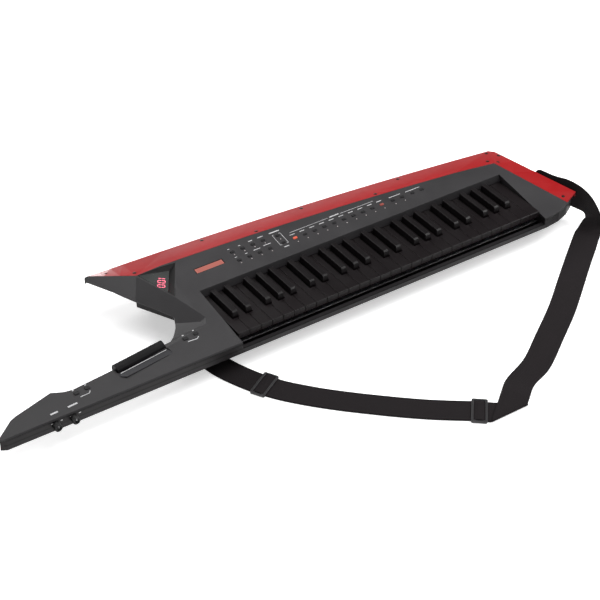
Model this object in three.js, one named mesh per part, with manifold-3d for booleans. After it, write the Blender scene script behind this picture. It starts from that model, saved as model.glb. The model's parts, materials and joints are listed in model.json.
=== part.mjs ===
// Keytar: a keyboard instrument that is worn on a strap, with a neck for the left hand.
// Millimetres, +Z up. The instrument lies on its back on a level surface.
// Inside the instrument group the origin is the left front corner of the first key's top.

import * as THREE from 'three';
import { mergeVertices } from 'three/addons/utils/BufferGeometryUtils.js';
import Module from 'manifold-3d';

const wasm = await Module();
wasm.setup();

// Keys
const whiteKeyCount = 29;
const whiteKeyPitch = 23.5;
const keyGap = 0.9;
const whiteKeyFrontLength = 40.6;
const whiteKeyThickness = 12;
const whiteKeyEdgeRadius = 1.2;
const keyRelief = 2.4;
const keySkin = 2;
const keyTailBehindPivot = 7;
const keyReliefEnd = 15;
const pivotDistance = 165;
const pivotDepth = 12;
const pivotRodRadius = 2.5;
const pivotRodOverhang = 6;
const blackKeyFront = 42.3;
const blackKeyHeight = 12;
const blackKeyWidth = 12.4;
const blackKeyTopWidth = 9.6;
const blackKeyShoulderHeight = 3;
const blackKeyNoseLength = 5;
const blackKeyNoseShares = [0.4, 0.82];
const blackKeyBack = 117.5;
const combSpineDepth = 7;
const combSpineHeight = 8;
const runningGap = 0.3;
const keyboardLength = whiteKeyCount * whiteKeyPitch;

// Case, seen from above
const neckTipDistance = 466;
const neckTipChamfer = 11;
const frontEdge = 17;
const neckRoot = 47;
const neckTipBack = 11;
const rightTipReach = 104.5;
const rightTip = keyboardLength + rightTipReach;
const rightTipBack = 14;
const backCornerReach = [45.5, 201];
const backCorner = fromKeyEnd(backCornerReach);
const backEdgeRise = 266.9;
const backEdgeFall = 30.46305;
const backEdgeCurl = 27.634313875;
const bladeInnerRise = 211.2;
const bladeInnerFall = 23.37545;
const bladeInnerCurl = 27.21631585;
const bladeInnerLeft = -79;
const bladeInnerReaches = [[14, 156.2], [69.9, 0.4]];
const [bladeInnerCorner, bladeInnerTip] = bladeInnerReaches.map(fromKeyEnd);
const bladeCornerCut = 7;
const bladeInnerCut = 1;
const bladeTipInset = 1;
const bladeHornStart = [-152.5, 257];
const bladeHornSkew = 6;
const bladeSkew = 3;
const hornTip = [-157, 262];
const hornTipSize = [6, 4.5];
const hornBackRun = 13;
const cornerBackRun = 22;
const frontCornerReaches = [[8.5, -17], [40.5, -13], [68.5, -3], [89.5, 9]];
const wellMargin = 1.5;
const fasciaTop = 125;
const fasciaBottom = 120.5;
const fasciaLip = 1;

// Case, seen from the side
const panelSlopeDegrees = 8.8;
const panelDrop = 5;
const hornFallShare = 0.07;
const hornFallStart = -30;
const wall = 3;
const seamDepth = 11;
const seamGap = 0.3;
const bandDepth = 31;
const bandInset = [1, 0.5];
const bandReaches = [[8.5, -16.5], [39.5, -12.5], [67.5, -3], [92.5, 12], [41, 190]];
const bandBackInset = 16;
const bandBackReach = 8.5;
const bandBackLeft = -60;
const trayTopEnds = [[-45, -10], [-45, 238]];
const trayTopReaches = [[8.5, -10], [63.5, 14], [24.5, 182], [-9.5, 197]];
const trayBottomEnds = [[-15, 38], [-15, 200]];
const trayBottomReaches = [[-1.5, 38], [23.5, 52], [-5.5, 150], [-31.5, 165]];
const railDepth = 22;
const railWidth = 10;
const ridgeWidth = 2;
const joinDepth = 1;
const bellyDepth = 56.5;
const footHeight = 8;
const bladeOuterHeight = 13;
const bladeTipHeight = -1;
const bladeThickness = 3.5;
const bladeLipDepth = 9;
const bladeLipWidth = 3;
const hornUndersideSlope = 0.1;
const hornBellyStart = 85;
const tipFall = 8.6;
const tipRun = 4.8;
const gripDepth = 47;
const gripInset = 4;
const gripStations = [[-458, 8], [-440, 8], [-405, 18], [-340, 28], [-160, 28], [-70, 28]];
const gripDepthShares = [0.1, 0.45, 0.85, 1, 1, 0.9];
const gripShares = [[0, 0], [0.06, 0.45], [0.22, 0.82], [0.5, 1], [0.78, 0.82], [0.94, 0.45], [1, 0]];

// Panel pieces
const panelWall = 3;
const boardThickness = 1.6;
const boardDepth = 5.6;
const boardFront = 134;
const boardStart = [-4, 0];
const boardBack = [[440, 42], [220, 54], [-4, 56]];
const boardReaches = [[-121.5, 0], [-121.5, 32]];
const boardBossPlaces = [[10, 142], [150, 142], [290, 142], [430, 142], [540, 142]];
const bossRadius = 3.2;
const keypadWeb = 1;
const keypadMargin = 3.5;
const buttonTravel = 1;
const buttonRise = 1.2;
const buttonClearance = 0.35;
const menuButtonSize = [8, 5];
const toneButtonSize = [8, 4.6];
const effectButtonSize = [7.4, 4.6];
const neckButtonSize = [9.5, 6.4];
const menuPitch = 22.2;
const menuLeft = 104;
const menuCount = 4;
const menuRows = [182, 158.5];
const effectButtons = [[201.5, 180], [201.5, 160]];
const tonePitch = 22;
const toneRow = 160;
const toneLefts = [227, 337, 451, 497.5];
const toneCount = [5, 5, 2, 2];
const neckButtonNames = ['octave_down_button', 'octave_up_button', 'hold_button', 'glide_button'];
const neckButtonPlaces = [[-308, 17], [-287, 19], [-84, 38], [-62, 40]];
const lcdSize = [60, 12.6];
const lcdCentre = [47.5, 170];
const lcdRecess = 0.6;
const screenRadius = 1;
const ribbonLength = 104;
const ribbonWidth = 15.5;
const ribbonThickness = 1.4;
const ribbonCorner = 6;
const ribbonNose = 2;
const ribbonBarGap = 1;
const barAngleDegrees = 7.3;
const barStart = [-225, 22];
const knobRadius = 7;
const knobDepth = 11.2;
const knobEdge = 0.8;
const knobSink = 0.5;
const knobShaftRadius = 3;
const knobShaftEnd = 4;
const knobBoreRadius = knobShaftRadius + runningGap;
const knobPlaces = [-366, -333];
const knobLevel = -18.5;

// Window and number display
const windowLeft = [-77, 212.5];
const windowTop = [-18, 200.5];
const windowFoot = [-49, 153];
const windowRimTop = [-1, 206.5];
const windowRimFoot = [-46, 136];
const windowPadDepth = 14;
const windowPadWidth = 6;
const windowDepth = 8.5;
const windowTipDepth = 5;
const windowTipDrop = 3.5;
const paneShare = 0.97;
const paneThickness = 1.6;
const displaySize = [20, 34];
const displayDepth = 8.4;
const displayThickness = 3.6;
const displayCentre = [-44.3, 182.9];

// Bar on the neck
const barLength = 102;
const barSection = [[1, -3.5], [1, 2], [3, 4.5], [7, 7.6], [11.5, 9.4], [15.5, 9], [18.6, 6.6], [20, 3],
  [20, -3.5]];
const barHinge = [4, -4];
const barPinRadius = 1.6;
const barPinLength = 4;
const barPinGap = 0.3;
const barEndGap = 0.6;
const barBlockGap = 1;
const barBlockClearance = 0.5;
const barBlockBack = 8;
const barBlockDepths = [9.5, 0.5];
const barSlotFront = 0.5;
const barSlotBack = 40;
const barSlotDepth = 8.2;

// Key bed
const bedTop = -25;
const bedThickness = 1;
const bedFront = 4;
const bedBack = 184;
const bedSeatWidth = 12;
const bedSeatTop = 1.2;
const bedLip = 1.5;
const bedEndGap = 1;
const hangerThickness = 3;
const hangerReach = 5;
const bedLinkLength = 8;
const bedLinkLap = 2;

// Inside and under the case
const postReaches = [[-15.5, 60], [-41.5, 140]];
const postPlaces = [[15, 60], [15, 150], [235, 60], [235, 150], [450, 60], [450, 150],
  ...postReaches.map(fromKeyEnd)];
const postRadius = 5;
const footReaches = [[-21.5, 62], [-41.5, 138]];
const footPlaces = [[52, 60], ...footReaches.map(fromKeyEnd), [52, 178]];
const footRadius = 9;
const bellyScrewReaches = [[-81.5, 50], [-81.5, 158]];
const bellyScrewPlaces = [[40, 50], [40, 188], [340, 50], [340, 172], ...bellyScrewReaches.map(fromKeyEnd)];
const screwRadius = 2.9;
const screwHeight = 2.4;
const screwSink = 0.5;

const batteryCentre = [150, 105];
const cellRadius = 7.1;
const cellLength = 50;
const cellGap = 0.5;
const cellRowCount = 4;
const batterySlackLength = 6;
const batterySlackWidth = 4;
const batteryRoom = [2 * cellLength + batterySlackLength, 2 * cellRowCount * cellRadius + batterySlackWidth];
const batteryRoof = 36;
const holderGap = 1;
const holderHeight = 3;
const coverMargin = 4;
const coverThickness = 2;
const coverRadius = 3;
const bayRadii = [2, 1];

// Screws of the cover: a place along it and a share across
const bladeScrewPlaces = [-118, -76, 82, 175, 294, 434, 507];
const bladeScrewReaches = [28.5, 8.5];
const bladeScrewShares = [0.45, 0.2, 0.8, 0.15, 0.8, 0.15, 0.8, 0.85, 0.25];
const bladeEndScrewShares = [[0.05, 0.84], [0.05, 0.27], [0.92, 0.25]];

// Sockets and strap
const jackPanelSize = [74, 14];
const jackPanelShare = 0.5;
const jackPanelDepths = [0.3, 2.6];
const socketPlaces = [-26, -6];
const socketRadii = [5.5, 3.5];
const socketDepths = [14, 12];
const dataSocket = [6, 18];
const dataSocketHeight = 9;
const dataSocketWall = 1;
const dataSocketDepths = [12, 10.5];
const supplySocket = 28;
const supplySocketRadii = [4, 2.8];
const supplySocketDepths = [12, 10];
const rightPinShare = 0.41;
const leftPinShare = 0.3;
const pinNeckRadius = 3.6;
const pinFootRadius = 7.5;
const pinHeadRadius = 6.5;
const pinProfile = [[0, 0], [pinFootRadius, 0], [pinFootRadius, 1.5], [pinNeckRadius, 2.5],
  [pinNeckRadius, 13.4], [pinHeadRadius, 14.8], [pinHeadRadius, 16.6], [0, 17.6]];
const strapWidth = 50;
const strapThickness = 2.4;
const strapLift = 0.1;
const strapSeat = 10.8;
const strapRise = 6;
const sliderLength = 28;
const sliderWidth = 59;
const sliderBar = 4;
const sliderBarHeight = 2.2;
const sliderLift = 2.6;
const strapLeanDegrees = 12;
const tailReaches = [-20, -18, -13, -6];
const leftSeat = 7;
const leftBendRadius = 20;
const leftTailRise = 8.5;

const overrun = 60;
const roundSteps = 4;
const panelAngle = THREE.MathUtils.degToRad(panelSlopeDegrees);
const panelSlope = Math.tan(panelAngle);
const barAngle = THREE.MathUtils.degToRad(barAngleDegrees);

const colours = {
  shell: 0x1f1f22,
  underside: 0x1a1a1c,
  blade: 0xb8191f,
  whiteKey: 0x18181a,
  blackKey: 0x0b0b0c,
  steel: 0x8c8f94,
  button: 0x2b2b2f,
  rubber: 0x0d0d0e,
  webbing: 0x101012,
  glass: 0x141016,
  lcd: 0xd8552a,
  digits: 0x2a0608,
  board: 0x14502b,
  cell: 0x3b6ea5,
};

// Turns a closed three.js geometry into a solid that can be joined and cut.
function solidOf(geometry) {
  const plain = new THREE.BufferGeometry();
  plain.setAttribute('position', geometry.getAttribute('position').clone());
  if (geometry.index) plain.setIndex(geometry.index.clone());
  const merged = mergeVertices(plain);
  return new wasm.Manifold(new wasm.Mesh({
    numProp: 3,
    vertProperties: new Float32Array(merged.getAttribute('position').array),
    triVerts: new Uint32Array(merged.index.array),
  }));
}

function geometryOf(solid) {
  const source = solid.getMesh();
  const geometry = new THREE.BufferGeometry();
  geometry.setAttribute('position', new THREE.BufferAttribute(source.vertProperties, 3));
  geometry.setIndex(new THREE.BufferAttribute(source.triVerts, 1));
  geometry.computeVertexNormals();
  return geometry;
}

function extrusion(outline, depth) {
  const shape = new THREE.Shape(outline.map(([x, y]) => new THREE.Vector2(x, y)));
  return new THREE.ExtrudeGeometry(shape, { depth, bevelEnabled: false });
}

// A plan outline, upright from one height to another.
function upright(outline, bottom, top) {
  const geometry = extrusion(outline, top - bottom);
  geometry.translate(0, 0, bottom);
  return solidOf(geometry);
}

// A section in depth and height, drawn along the keyboard from left to right.
function lengthwise(section, left, right) {
  const geometry = extrusion(section, right - left);
  const turn = new THREE.Matrix4().makeBasis(
    new THREE.Vector3(0, 1, 0),
    new THREE.Vector3(0, 0, 1),
    new THREE.Vector3(1, 0, 0),
  );
  geometry.applyMatrix4(turn);
  geometry.translate(left, 0, 0);
  return solidOf(geometry);
}

// A section in width and height, drawn from front to back.
function crosswise(section, front, back) {
  const geometry = extrusion(section, back - front);
  geometry.rotateX(Math.PI / 2);
  geometry.translate(0, back, 0);
  return solidOf(geometry);
}

function block(left, right, front, back, bottom, top) {
  return upright([[left, front], [right, front], [right, back], [left, back]], bottom, top);
}

function cylinder(radius, bottom, top, steps = 16) {
  const geometry = new THREE.CylinderGeometry(radius, radius, top - bottom, steps);
  geometry.rotateX(Math.PI / 2);
  geometry.translate(0, 0, (top + bottom) / 2);
  return solidOf(geometry);
}

function revolved(profile, steps) {
  const points = profile.map(([radius, height]) => new THREE.Vector2(radius, height));
  const geometry = new THREE.LatheGeometry(points, steps);
  geometry.rotateX(Math.PI / 2);
  return solidOf(geometry);
}

// A closed skin through rings of points that all have the same count.
function loft(rings) {
  const count = rings[0].length;
  const positions = rings.flat(2);
  const faces = [];
  for (let ring = 0; ring < rings.length - 1; ring += 1) {
    for (let i = 0; i < count; i += 1) {
      const a = ring * count + i;
      const b = ring * count + (i + 1) % count;
      faces.push([a, b, b + count], [a, b + count, a + count]);
    }
  }
  const last = (rings.length - 1) * count;
  for (const [a, b, c] of capFaces(rings[0])) faces.push([a, c, b]);
  for (const [a, b, c] of capFaces(rings.at(-1))) faces.push([a + last, b + last, c + last]);
  const corner = (index) => new THREE.Vector3().fromArray(positions, index * 3);
  const volume = faces.reduce(
    (sum, [a, b, c]) => sum + corner(a).dot(corner(b).cross(corner(c))), 0);
  const ordered = volume > 0 ? faces : faces.map(([a, b, c]) => [a, c, b]);
  const geometry = new THREE.BufferGeometry();
  geometry.setAttribute('position', new THREE.Float32BufferAttribute(positions, 3));
  geometry.setIndex(ordered.flat());
  return solidOf(geometry);
}

// Triangles over one ring, seen along the axis that shows it widest and in the ring's order.
function capFaces(ring) {
  const points = ring.map((point) => new THREE.Vector3(...point));
  const normal = new THREE.Vector3();
  points.forEach((point, i) => normal.add(point.clone().cross(points[(i + 1) % points.length])));
  const spans = normal.toArray().map(Math.abs);
  const axis = spans.indexOf(Math.max(...spans));
  const first = (axis + 1) % 3;
  const second = (axis + 2) % 3;
  const flat = ring.map((point) => new THREE.Vector2(point[first], point[second]));
  const sign = Math.sign(THREE.ShapeUtils.area(flat));
  return THREE.ShapeUtils.triangulateShape(flat, []).map(([a, b, c]) => {
    const turned = Math.sign(THREE.ShapeUtils.area([flat[a], flat[b], flat[c]]));
    return turned === sign ? [a, b, c] : [a, c, b];
  });
}

// Moves every edge of a counter-clockwise outline inwards by the same distance.
function inset(outline, distance) {
  return outline.map((point, i) => {
    const before = outline[(i + outline.length - 1) % outline.length];
    const after = outline[(i + 1) % outline.length];
    const first = inward(before, point);
    const second = inward(point, after);
    const reach = distance / (1 + first.dot(second));
    return [point[0] + (first.x + second.x) * reach, point[1] + (first.y + second.y) * reach];
  });
}

function inward(from, to) {
  const edge = new THREE.Vector2(to[0] - from[0], to[1] - from[1]).normalize();
  return new THREE.Vector2(-edge.y, edge.x);
}

function moved(solid, matrix) {
  return solid.transform(matrix.elements);
}

function joined(solids) {
  return solids.reduce((sum, solid) => sum.add(solid));
}

function roundedOutline(width, length, radius) {
  const points = [];
  const corners = [[1, 1], [-1, 1], [-1, -1], [1, -1]];
  corners.forEach(([across, along], quarter) => {
    for (let step = 0; step <= roundSteps; step += 1) {
      const angle = (quarter + step / roundSteps) * Math.PI / 2;
      points.push([
        across * (width / 2 - radius) + radius * Math.cos(angle),
        along * (length / 2 - radius) + radius * Math.sin(angle),
      ]);
    }
  });
  return points;
}

const instrument = new THREE.Group();

function addPart(name, solid, colour, roughness = 0.5, metalness = 0) {
  const material = new THREE.MeshStandardMaterial({ color: colour, roughness, metalness });
  const part = new THREE.Mesh(geometryOf(solid), material);
  part.name = name;
  instrument.add(part);
  return part;
}

// A place given from the right end of the keys
function fromKeyEnd([x, y]) {
  return [keyboardLength + x, y];
}

// Heights and matrices of the sloping panel
function panelHeight(y) {
  return panelSlope * y - panelDrop;
}

function hornHeight(x, y) {
  return panelHeight(y) - hornFallShare * Math.max(0, hornFallStart - x);
}

// Places a solid drawn about the origin on the panel, its height square to the panel.
function onPanel(x, y, turn = 0) {
  const place = new THREE.Matrix4().makeTranslation(x, y, panelHeight(y));
  place.multiply(new THREE.Matrix4().makeRotationX(panelAngle));
  place.multiply(new THREE.Matrix4().makeRotationZ(turn));
  return place;
}

function backEdge(x) {
  const along = x / keyboardLength;
  return backEdgeRise - backEdgeFall * along - backEdgeCurl * along * along;
}

function bladeInner(x) {
  const along = x / keyboardLength;
  return bladeInnerRise - bladeInnerFall * along - bladeInnerCurl * along * along;
}

// Case outline, counter-clockwise from the front of the neck tip
const caseMargin = bladeLipWidth + runningGap;
const backSteps = 8;

function backRun(margin, right, left) {
  const points = [];
  for (let step = 0; step <= backSteps; step += 1) {
    const x = right + (left - right) * step / backSteps;
    points.push([x, backEdge(x) - margin]);
  }
  return points;
}

// Horn, from its tip round to the neck: its front is a facet that falls from a fold to a thin lip
const hornEdge = [[-158.3, 257.4], [-130.5, 211.8], [-117.6, 192.7], [-104.2, 174.3], [-84.5, 139.8],
  [-66.7, 104.1], [-71.5, 93.2], [-79.9, 78.6], [-90.2, 65.1], [-99.3, 54.6]];
const hornFold = [[-153.3, 255.4], [-79.8, 211.6], [-47.6, 134.4], [-26, 66.4], [-36, 52], [-92, 53.4]];
const hornFoldSlopes = [0.31, 0.375, 0.4, 0.5, 0.35];
// Under the horn a second facet rises to the lip, as far as the lower shell reaches
const hornKeel = [[-139, 270], [-147, 263], [-112, 227], [-100, 209], [-89, 186], [-69, 149], [-62, 114]];
const hornLip = 2.3;
const hornSolidCorner = [-58, 66];
const hornReach = 4;
const lowerHorn = [[-56, 127], [-92.5, 198], [-74, 237]];
const neckBack = [[-109, 48], [-128, 45.5], [-229, 34], [-309, 27], [-325, 29.5], [-346, 38],
  [-419, 20], [-430, 16]];

const caseOutline = [
  [-neckTipDistance + neckTipChamfer, -frontEdge],
  ...frontCornerReaches.map(fromKeyEnd),
  [rightTip - 2 * caseMargin, rightTipBack],
  [backCorner[0] - caseMargin, backCorner[1] - caseMargin],
  ...backRun(caseMargin, backCorner[0] - cornerBackRun, hornTip[0] + hornBackRun),
  [hornTip[0] + hornTipSize[0], hornTip[1] + hornTipSize[1]],
  hornTip,
  ...hornEdge,
  ...neckBack,
  [-neckTipDistance, -neckTipBack],
];

// Cuts away everything over the panel, and a little more to the left behind the neck.
function roofCutter(lowered) {
  const back = backEdgeRise + overrun;
  const front = -frontEdge - overrun;
  const panelRoof = lengthwise([
    [front, panelHeight(front) - lowered],
    [back, panelHeight(back) - lowered],
    [back, 2 * overrun],
    [front, 2 * overrun],
  ], -neckTipDistance - overrun, rightTip + overrun);
  const left = hornTip[0] - overrun;
  const hornRing = (x) => [
    [x, neckRoot, hornHeight(x, neckRoot) - lowered],
    [x, back, hornHeight(x, back) - lowered],
    [x, back, 2 * overrun],
    [x, neckRoot, 2 * overrun],
  ];
  return panelRoof.add(loft([hornRing(left), hornRing(hornFallStart)]));
}

// How far a place lies from each fold of the horn, on the side of its edge
function hornReaches(x, y) {
  return hornFold.slice(1).map(([toX, toY], i) => {
    const [fromX, fromY] = hornFold[i];
    const length = Math.hypot(toX - fromX, toY - fromY);
    return ((x - fromX) * (toY - fromY) - (y - fromY) * (toX - fromX)) / length;
  });
}

// Height of the tip's end, which falls away to the left of the blade
function tipHeight(x) {
  const [inner] = stations[0];
  return inner[2] - tipFall * (inner[0] - runningGap - x) / tipRun;
}

// Height of the horn's face at its edge
function hornFace(x, y) {
  const falls = hornReaches(x, y).map((reach, i) => reach * hornFoldSlopes[i]);
  return Math.min(hornHeight(x, y) - Math.min(...falls), tipHeight(x));
}

// A place a little past the horn's edge and under its lip
function underLip([x, y], [keelX, keelY]) {
  const share = hornReach / Math.hypot(x - keelX, y - keelY);
  const height = hornFace(x, y) - hornLip;
  const rise = height - hornBelly(keelY);
  return [x + (x - keelX) * share, y + (y - keelY) * share, height + rise * share];
}

// Rings with the same number of points each, filled between neighbours.
function filledBetween(rings) {
  return joined(rings.slice(1).map((ring, i) => wasm.Manifold.hull([...rings[i], ...ring])));
}

// Cuts the facets of the horn, lowered by a wall for the room inside the shell.
function facetCutter(lowered) {
  const room = block(hornTip[0] - overrun, 0, 0, backEdgeRise + overrun, -seamDepth, 2 * overrun);
  return hornFoldSlopes.reduce((left, slope, i) => {
    const [[fromX, fromY], [toX, toY]] = [hornFold[i], hornFold[i + 1]];
    const length = Math.hypot(toX - fromX, toY - fromY);
    const acrossX = (toY - fromY) / length;
    const acrossY = (fromX - toX) / length;
    const normal = new THREE.Vector3(slope * acrossX - hornFallShare, slope * acrossY - panelSlope, 1);
    normal.normalize();
    const foot = new THREE.Vector3(fromX, fromY, hornHeight(fromX, fromY) - lowered);
    return left.trimByPlane(normal.toArray(), normal.dot(foot));
  }, room);
}

// Height of the horn's underside
function hornBelly(y) {
  return -seamDepth + hornUndersideSlope * (y - hornBellyStart);
}

// Cuts the horn free from below, up to its lip, where the lower shell doesn't carry it.
function hornUndercut() {
  const left = hornTip[0] - overrun;
  const back = backEdgeRise + overrun;
  const under = lengthwise([
    [hornBellyStart, -seamDepth],
    [back, hornBelly(back)],
    [back, -bellyDepth],
    [hornBellyStart, -bellyDepth],
  ], left, lowerHorn[0][0]);
  const side = [[left, hornEdge[5][1]], hornEdge[5], ...lowerHorn, [lowerHorn[2][0], back], [left, back]];
  const free = upright(side, -bellyDepth, overrun);
  const down = (points) => points.concat(points.map(([x, y]) => [x, y, -bellyDepth]));
  const bevel = filledBetween(hornKeel.map(([x, y], step) => down([
    [x, y, hornBelly(y)],
    underLip([hornTip, ...hornEdge][step], [x, y]),
  ])));
  return under.intersect(free).add(bevel);
}

// The tip carries on the slope of the blade and falls away to the left.
function tipCutter() {
  const [inner, outer] = stations[0];
  const far = inner.map((value, i) => value + 2 * (outer[i] - value));
  const aside = ([x, y, z]) => [x - overrun, y, z];
  const up = (points) => points.concat(points.map(([x, y]) => [x, y, 2 * overrun]));
  const behind = wasm.Manifold.hull(up([inner, far, aside(inner), aside(far)]));
  const edge = inner[0] - runningGap;
  const end = wasm.Manifold.hull(up([-overrun, overrun].flatMap((reach) => [edge, edge - 2 * tipRun].map(
    (x) => [x, inner[1] + reach, tipHeight(x)]))));
  return behind.add(end);
}

// Front edge of the shell: the panel ends in a ridge and the side falls from there.
function ridgeCutter() {
  const ridge = -frontEdge + ridgeWidth;
  return lengthwise([
    [-frontEdge - overrun, -seamDepth],
    [-frontEdge, -seamDepth],
    [ridge, panelHeight(ridge)],
    [ridge, 2 * overrun],
    [-frontEdge - overrun, 2 * overrun],
  ], -neckTipDistance - overrun, rightTip + overrun);
}

// Blade stations: an inner and an outer point each, from the horn tip round to the right tip
function bladeStations() {
  const stations = [];
  const leftSteps = 3;
  for (let step = 0; step < leftSteps; step += 1) {
    const share = step / leftSteps;
    const x = bladeHornStart[0] + (bladeInnerLeft - bladeHornStart[0]) * share;
    const y = bladeHornStart[1] + (bladeInner(bladeInnerLeft) - bladeHornStart[1]) * share;
    const outer = x + bladeHornSkew + (bladeSkew - bladeHornSkew) * share;
    stations.push([[x, y, hornHeight(x, y)], [outer, backEdge(outer), bladeOuterHeight]]);
  }
  const steps = 9;
  const outerRun = backCorner[0] - bladeCornerCut - bladeInnerCorner[0] - bladeSkew;
  for (let step = 0; step < steps; step += 1) {
    const x = bladeInnerLeft + (bladeInnerCorner[0] - bladeInnerLeft) * step / steps;
    const outer = x + bladeSkew + outerRun * step / steps;
    const y = bladeInner(x);
    stations.push([[x, y, hornHeight(x, y)], [outer, backEdge(outer), bladeOuterHeight]]);
  }
  const corner = [...bladeInnerCorner, panelHeight(bladeInnerCorner[1])];
  const before = backCorner[0] - bladeCornerCut;
  stations.push([corner, [before, backEdge(before), bladeOuterHeight]]);
  const end = [rightTip - bladeTipInset - backCorner[0], rightTipBack - backCorner[1]];
  const past = bladeCornerCut / Math.hypot(...end);
  const cornerEnd = [backCorner[0] + end[0] * past, backCorner[1] + end[1] * past, bladeOuterHeight];
  const cornerShift = bladeInnerCut / Math.hypot(...end);
  const innerEnd = [corner[0] + end[0] * cornerShift, corner[1] + end[1] * cornerShift];
  stations.push([[...innerEnd, panelHeight(innerEnd[1])], cornerEnd]);
  const tip = [...bladeInnerTip, panelHeight(bladeInnerTip[1])];
  const outerTip = [rightTip - bladeTipInset, rightTipBack, bladeTipHeight];
  const endSteps = 4;
  for (let step = 1; step <= endSteps; step += 1) {
    const between = (from, to) => from.map((value, i) => value + (to[i] - value) * step / endSteps);
    stations.push([between(corner, tip), between(cornerEnd, outerTip)]);
  }
  return stations;
}

// A ring across the blade, from offsets across the station and down from its face.
function stationRing([inner, outer], offsets) {
  const across = new THREE.Vector3(...outer).sub(new THREE.Vector3(...inner));
  const width = Math.hypot(across.x, across.y);
  return offsets(width).map(([reach, fall]) => {
    const share = reach / width;
    return [inner[0] + across.x * share, inner[1] + across.y * share, inner[2] + across.z * share + fall];
  });
}

const stations = bladeStations();

function bladeSolid() {
  return loft(stations.map((station) => stationRing(station, (width) => [
    [0, 0],
    [width, 0],
    [width, -bladeLipDepth],
    [width - bladeLipWidth, -bladeLipDepth],
    [width - bladeLipWidth, -bladeThickness],
    [0, -bladeThickness],
  ])));
}

// The room over the shelf that the blade lies on, with the room for its lip.
function bladeRoom(depth, margin) {
  const lip = bladeLipWidth + margin;
  const over = stationRoom(margin, (width, reach) => [
    [-margin, -depth],
    [width + reach, -depth],
    [width + reach, overrun],
    [-margin, overrun],
  ]);
  return over.add(stationRoom(margin, (width, reach) => [
    [width - lip, -bladeLipDepth - margin],
    [width + reach, -bladeLipDepth - margin],
    [width + reach, overrun],
    [width - lip, overrun],
  ]));
}

// A convex piece between each two stations, so that nothing of the blade is left outside.
function stationRoom(margin, section) {
  const reach = overrun / 2;
  const ahead = stations[0].map(([x, y, z]) => [x - margin, y, z]);
  const [lastInner, lastOuter] = stations.at(-1);
  const [cornerInner, cornerOuter] = stations.at(-2);
  const beyond = [[lastInner, cornerInner], [lastOuter, cornerOuter]].map(([last, corner]) => {
    const length = Math.hypot(last[0] - corner[0], last[1] - corner[1]);
    return last.map((value, i) => value + (value - corner[i]) * reach / length);
  });
  return filledBetween([ahead, ...stations, beyond].map(
    (station) => stationRing(station, (width) => section(width, reach))));
}

// Keyboard well and the fascia behind the keys
const wellLeft = -wellMargin;
const wellRight = keyboardLength + wellMargin;

function keyWell() {
  return lengthwise([
    [-frontEdge - overrun, -bellyDepth],
    [fasciaBottom, -bellyDepth],
    [fasciaBottom, fasciaLip],
    [fasciaTop, panelHeight(fasciaTop)],
    [fasciaTop, overrun],
    [-frontEdge - overrun, overrun],
  ], wellLeft, wellRight);
}

function keyWellSurround() {
  return lengthwise([
    [-frontEdge - overrun, -bellyDepth],
    [fasciaBottom - wall, -bellyDepth],
    [fasciaBottom - wall, fasciaLip],
    [fasciaBottom + wall, fasciaLip],
    [fasciaTop + wall, panelHeight(fasciaTop)],
    [fasciaTop + wall, overrun],
    [-frontEdge - overrun, overrun],
  ], wellLeft - wall, wellRight + wall);
}

// Button groups, as places on the panel
function row(count, first, pitch, y) {
  return Array.from({ length: count }, (_, i) => [first + i * pitch, y]);
}

const menuButtons = menuRows.flatMap((y) => row(menuCount, menuLeft, menuPitch, y));
const toneButtons = toneLefts.flatMap((x, i) => row(toneCount[i], x, tonePitch, toneRow));

function buttonCaps(places, [width, length]) {
  const outline = roundedOutline(width, length, length / 4);
  const bottom = buttonTravel + runningGap - boardDepth;
  return joined(places.map(([x, y]) => moved(upright(outline, bottom, buttonRise), onPanel(x, y))));
}

// Rubber keypad: caps on one thin web under the panel
function keypad(groups) {
  const places = groups.flatMap(([list]) => list);
  const [left, right] = [Math.min, Math.max].map((pick) => pick(...places.map(([x]) => x)));
  const [front, back] = [Math.min, Math.max].map((pick) => pick(...places.map(([, y]) => y)));
  const reach = keypadMargin + menuButtonSize[0] / 2;
  const top = -panelWall - runningGap;
  const depth = (back - front) / Math.cos(panelAngle) + reach;
  const web = block(left - reach, right + reach, -reach, depth, top - keypadWeb, top);
  return joined(groups.map(([list, size]) => buttonCaps(list, size))).add(moved(web, onPanel(0, front)));
}

function buttonHoles(places, [width, length]) {
  const clear = 2 * buttonClearance;
  const outline = roundedOutline(width + clear, length + clear, length / 4);
  return joined(places.map(([x, y]) => moved(upright(outline, -overrun / 8, overrun / 8), onPanel(x, y))));
}

// Smoked window: a sloping recess with a pane on its floor, deepest at the panel side
const displayTurn = Math.atan2(windowTop[1] - windowFoot[1], windowTop[0] - windowFoot[0]) - Math.PI / 2;

function windowPoint([x, y], depth) {
  return [x, y, panelHeight(y) - depth];
}

const windowFloor = [[windowLeft, windowTipDepth], [windowFoot, windowDepth], [windowTop, windowDepth]];

function windowRecess() {
  const rim = [windowLeft, windowRimFoot, windowRimTop];
  return loft([
    windowFloor.map(([point, depth]) => windowPoint(point, depth)),
    rim.map((point, i) => windowPoint(point, i === 0 ? windowTipDrop : 0)),
    rim.map((point) => windowPoint(point, -overrun)),
  ]);
}

function paneSolid() {
  const centre = [0, 1].map((axis) => windowFloor.reduce((sum, [point]) => sum + point[axis] / 3, 0));
  const ring = (lift) => windowFloor.map(([point, depth]) => windowPoint(
    point.map((value, axis) => centre[axis] + (value - centre[axis]) * paneShare), depth - lift));
  return loft([ring(runningGap), ring(runningGap + paneThickness)]);
}

function displayBox(margin, top, bottom) {
  const [width, length] = displaySize;
  const outline = roundedOutline(width + 2 * margin, length + 2 * margin, screenRadius);
  return moved(upright(outline, -bottom, -top), onPanel(...displayCentre, displayTurn));
}

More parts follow.
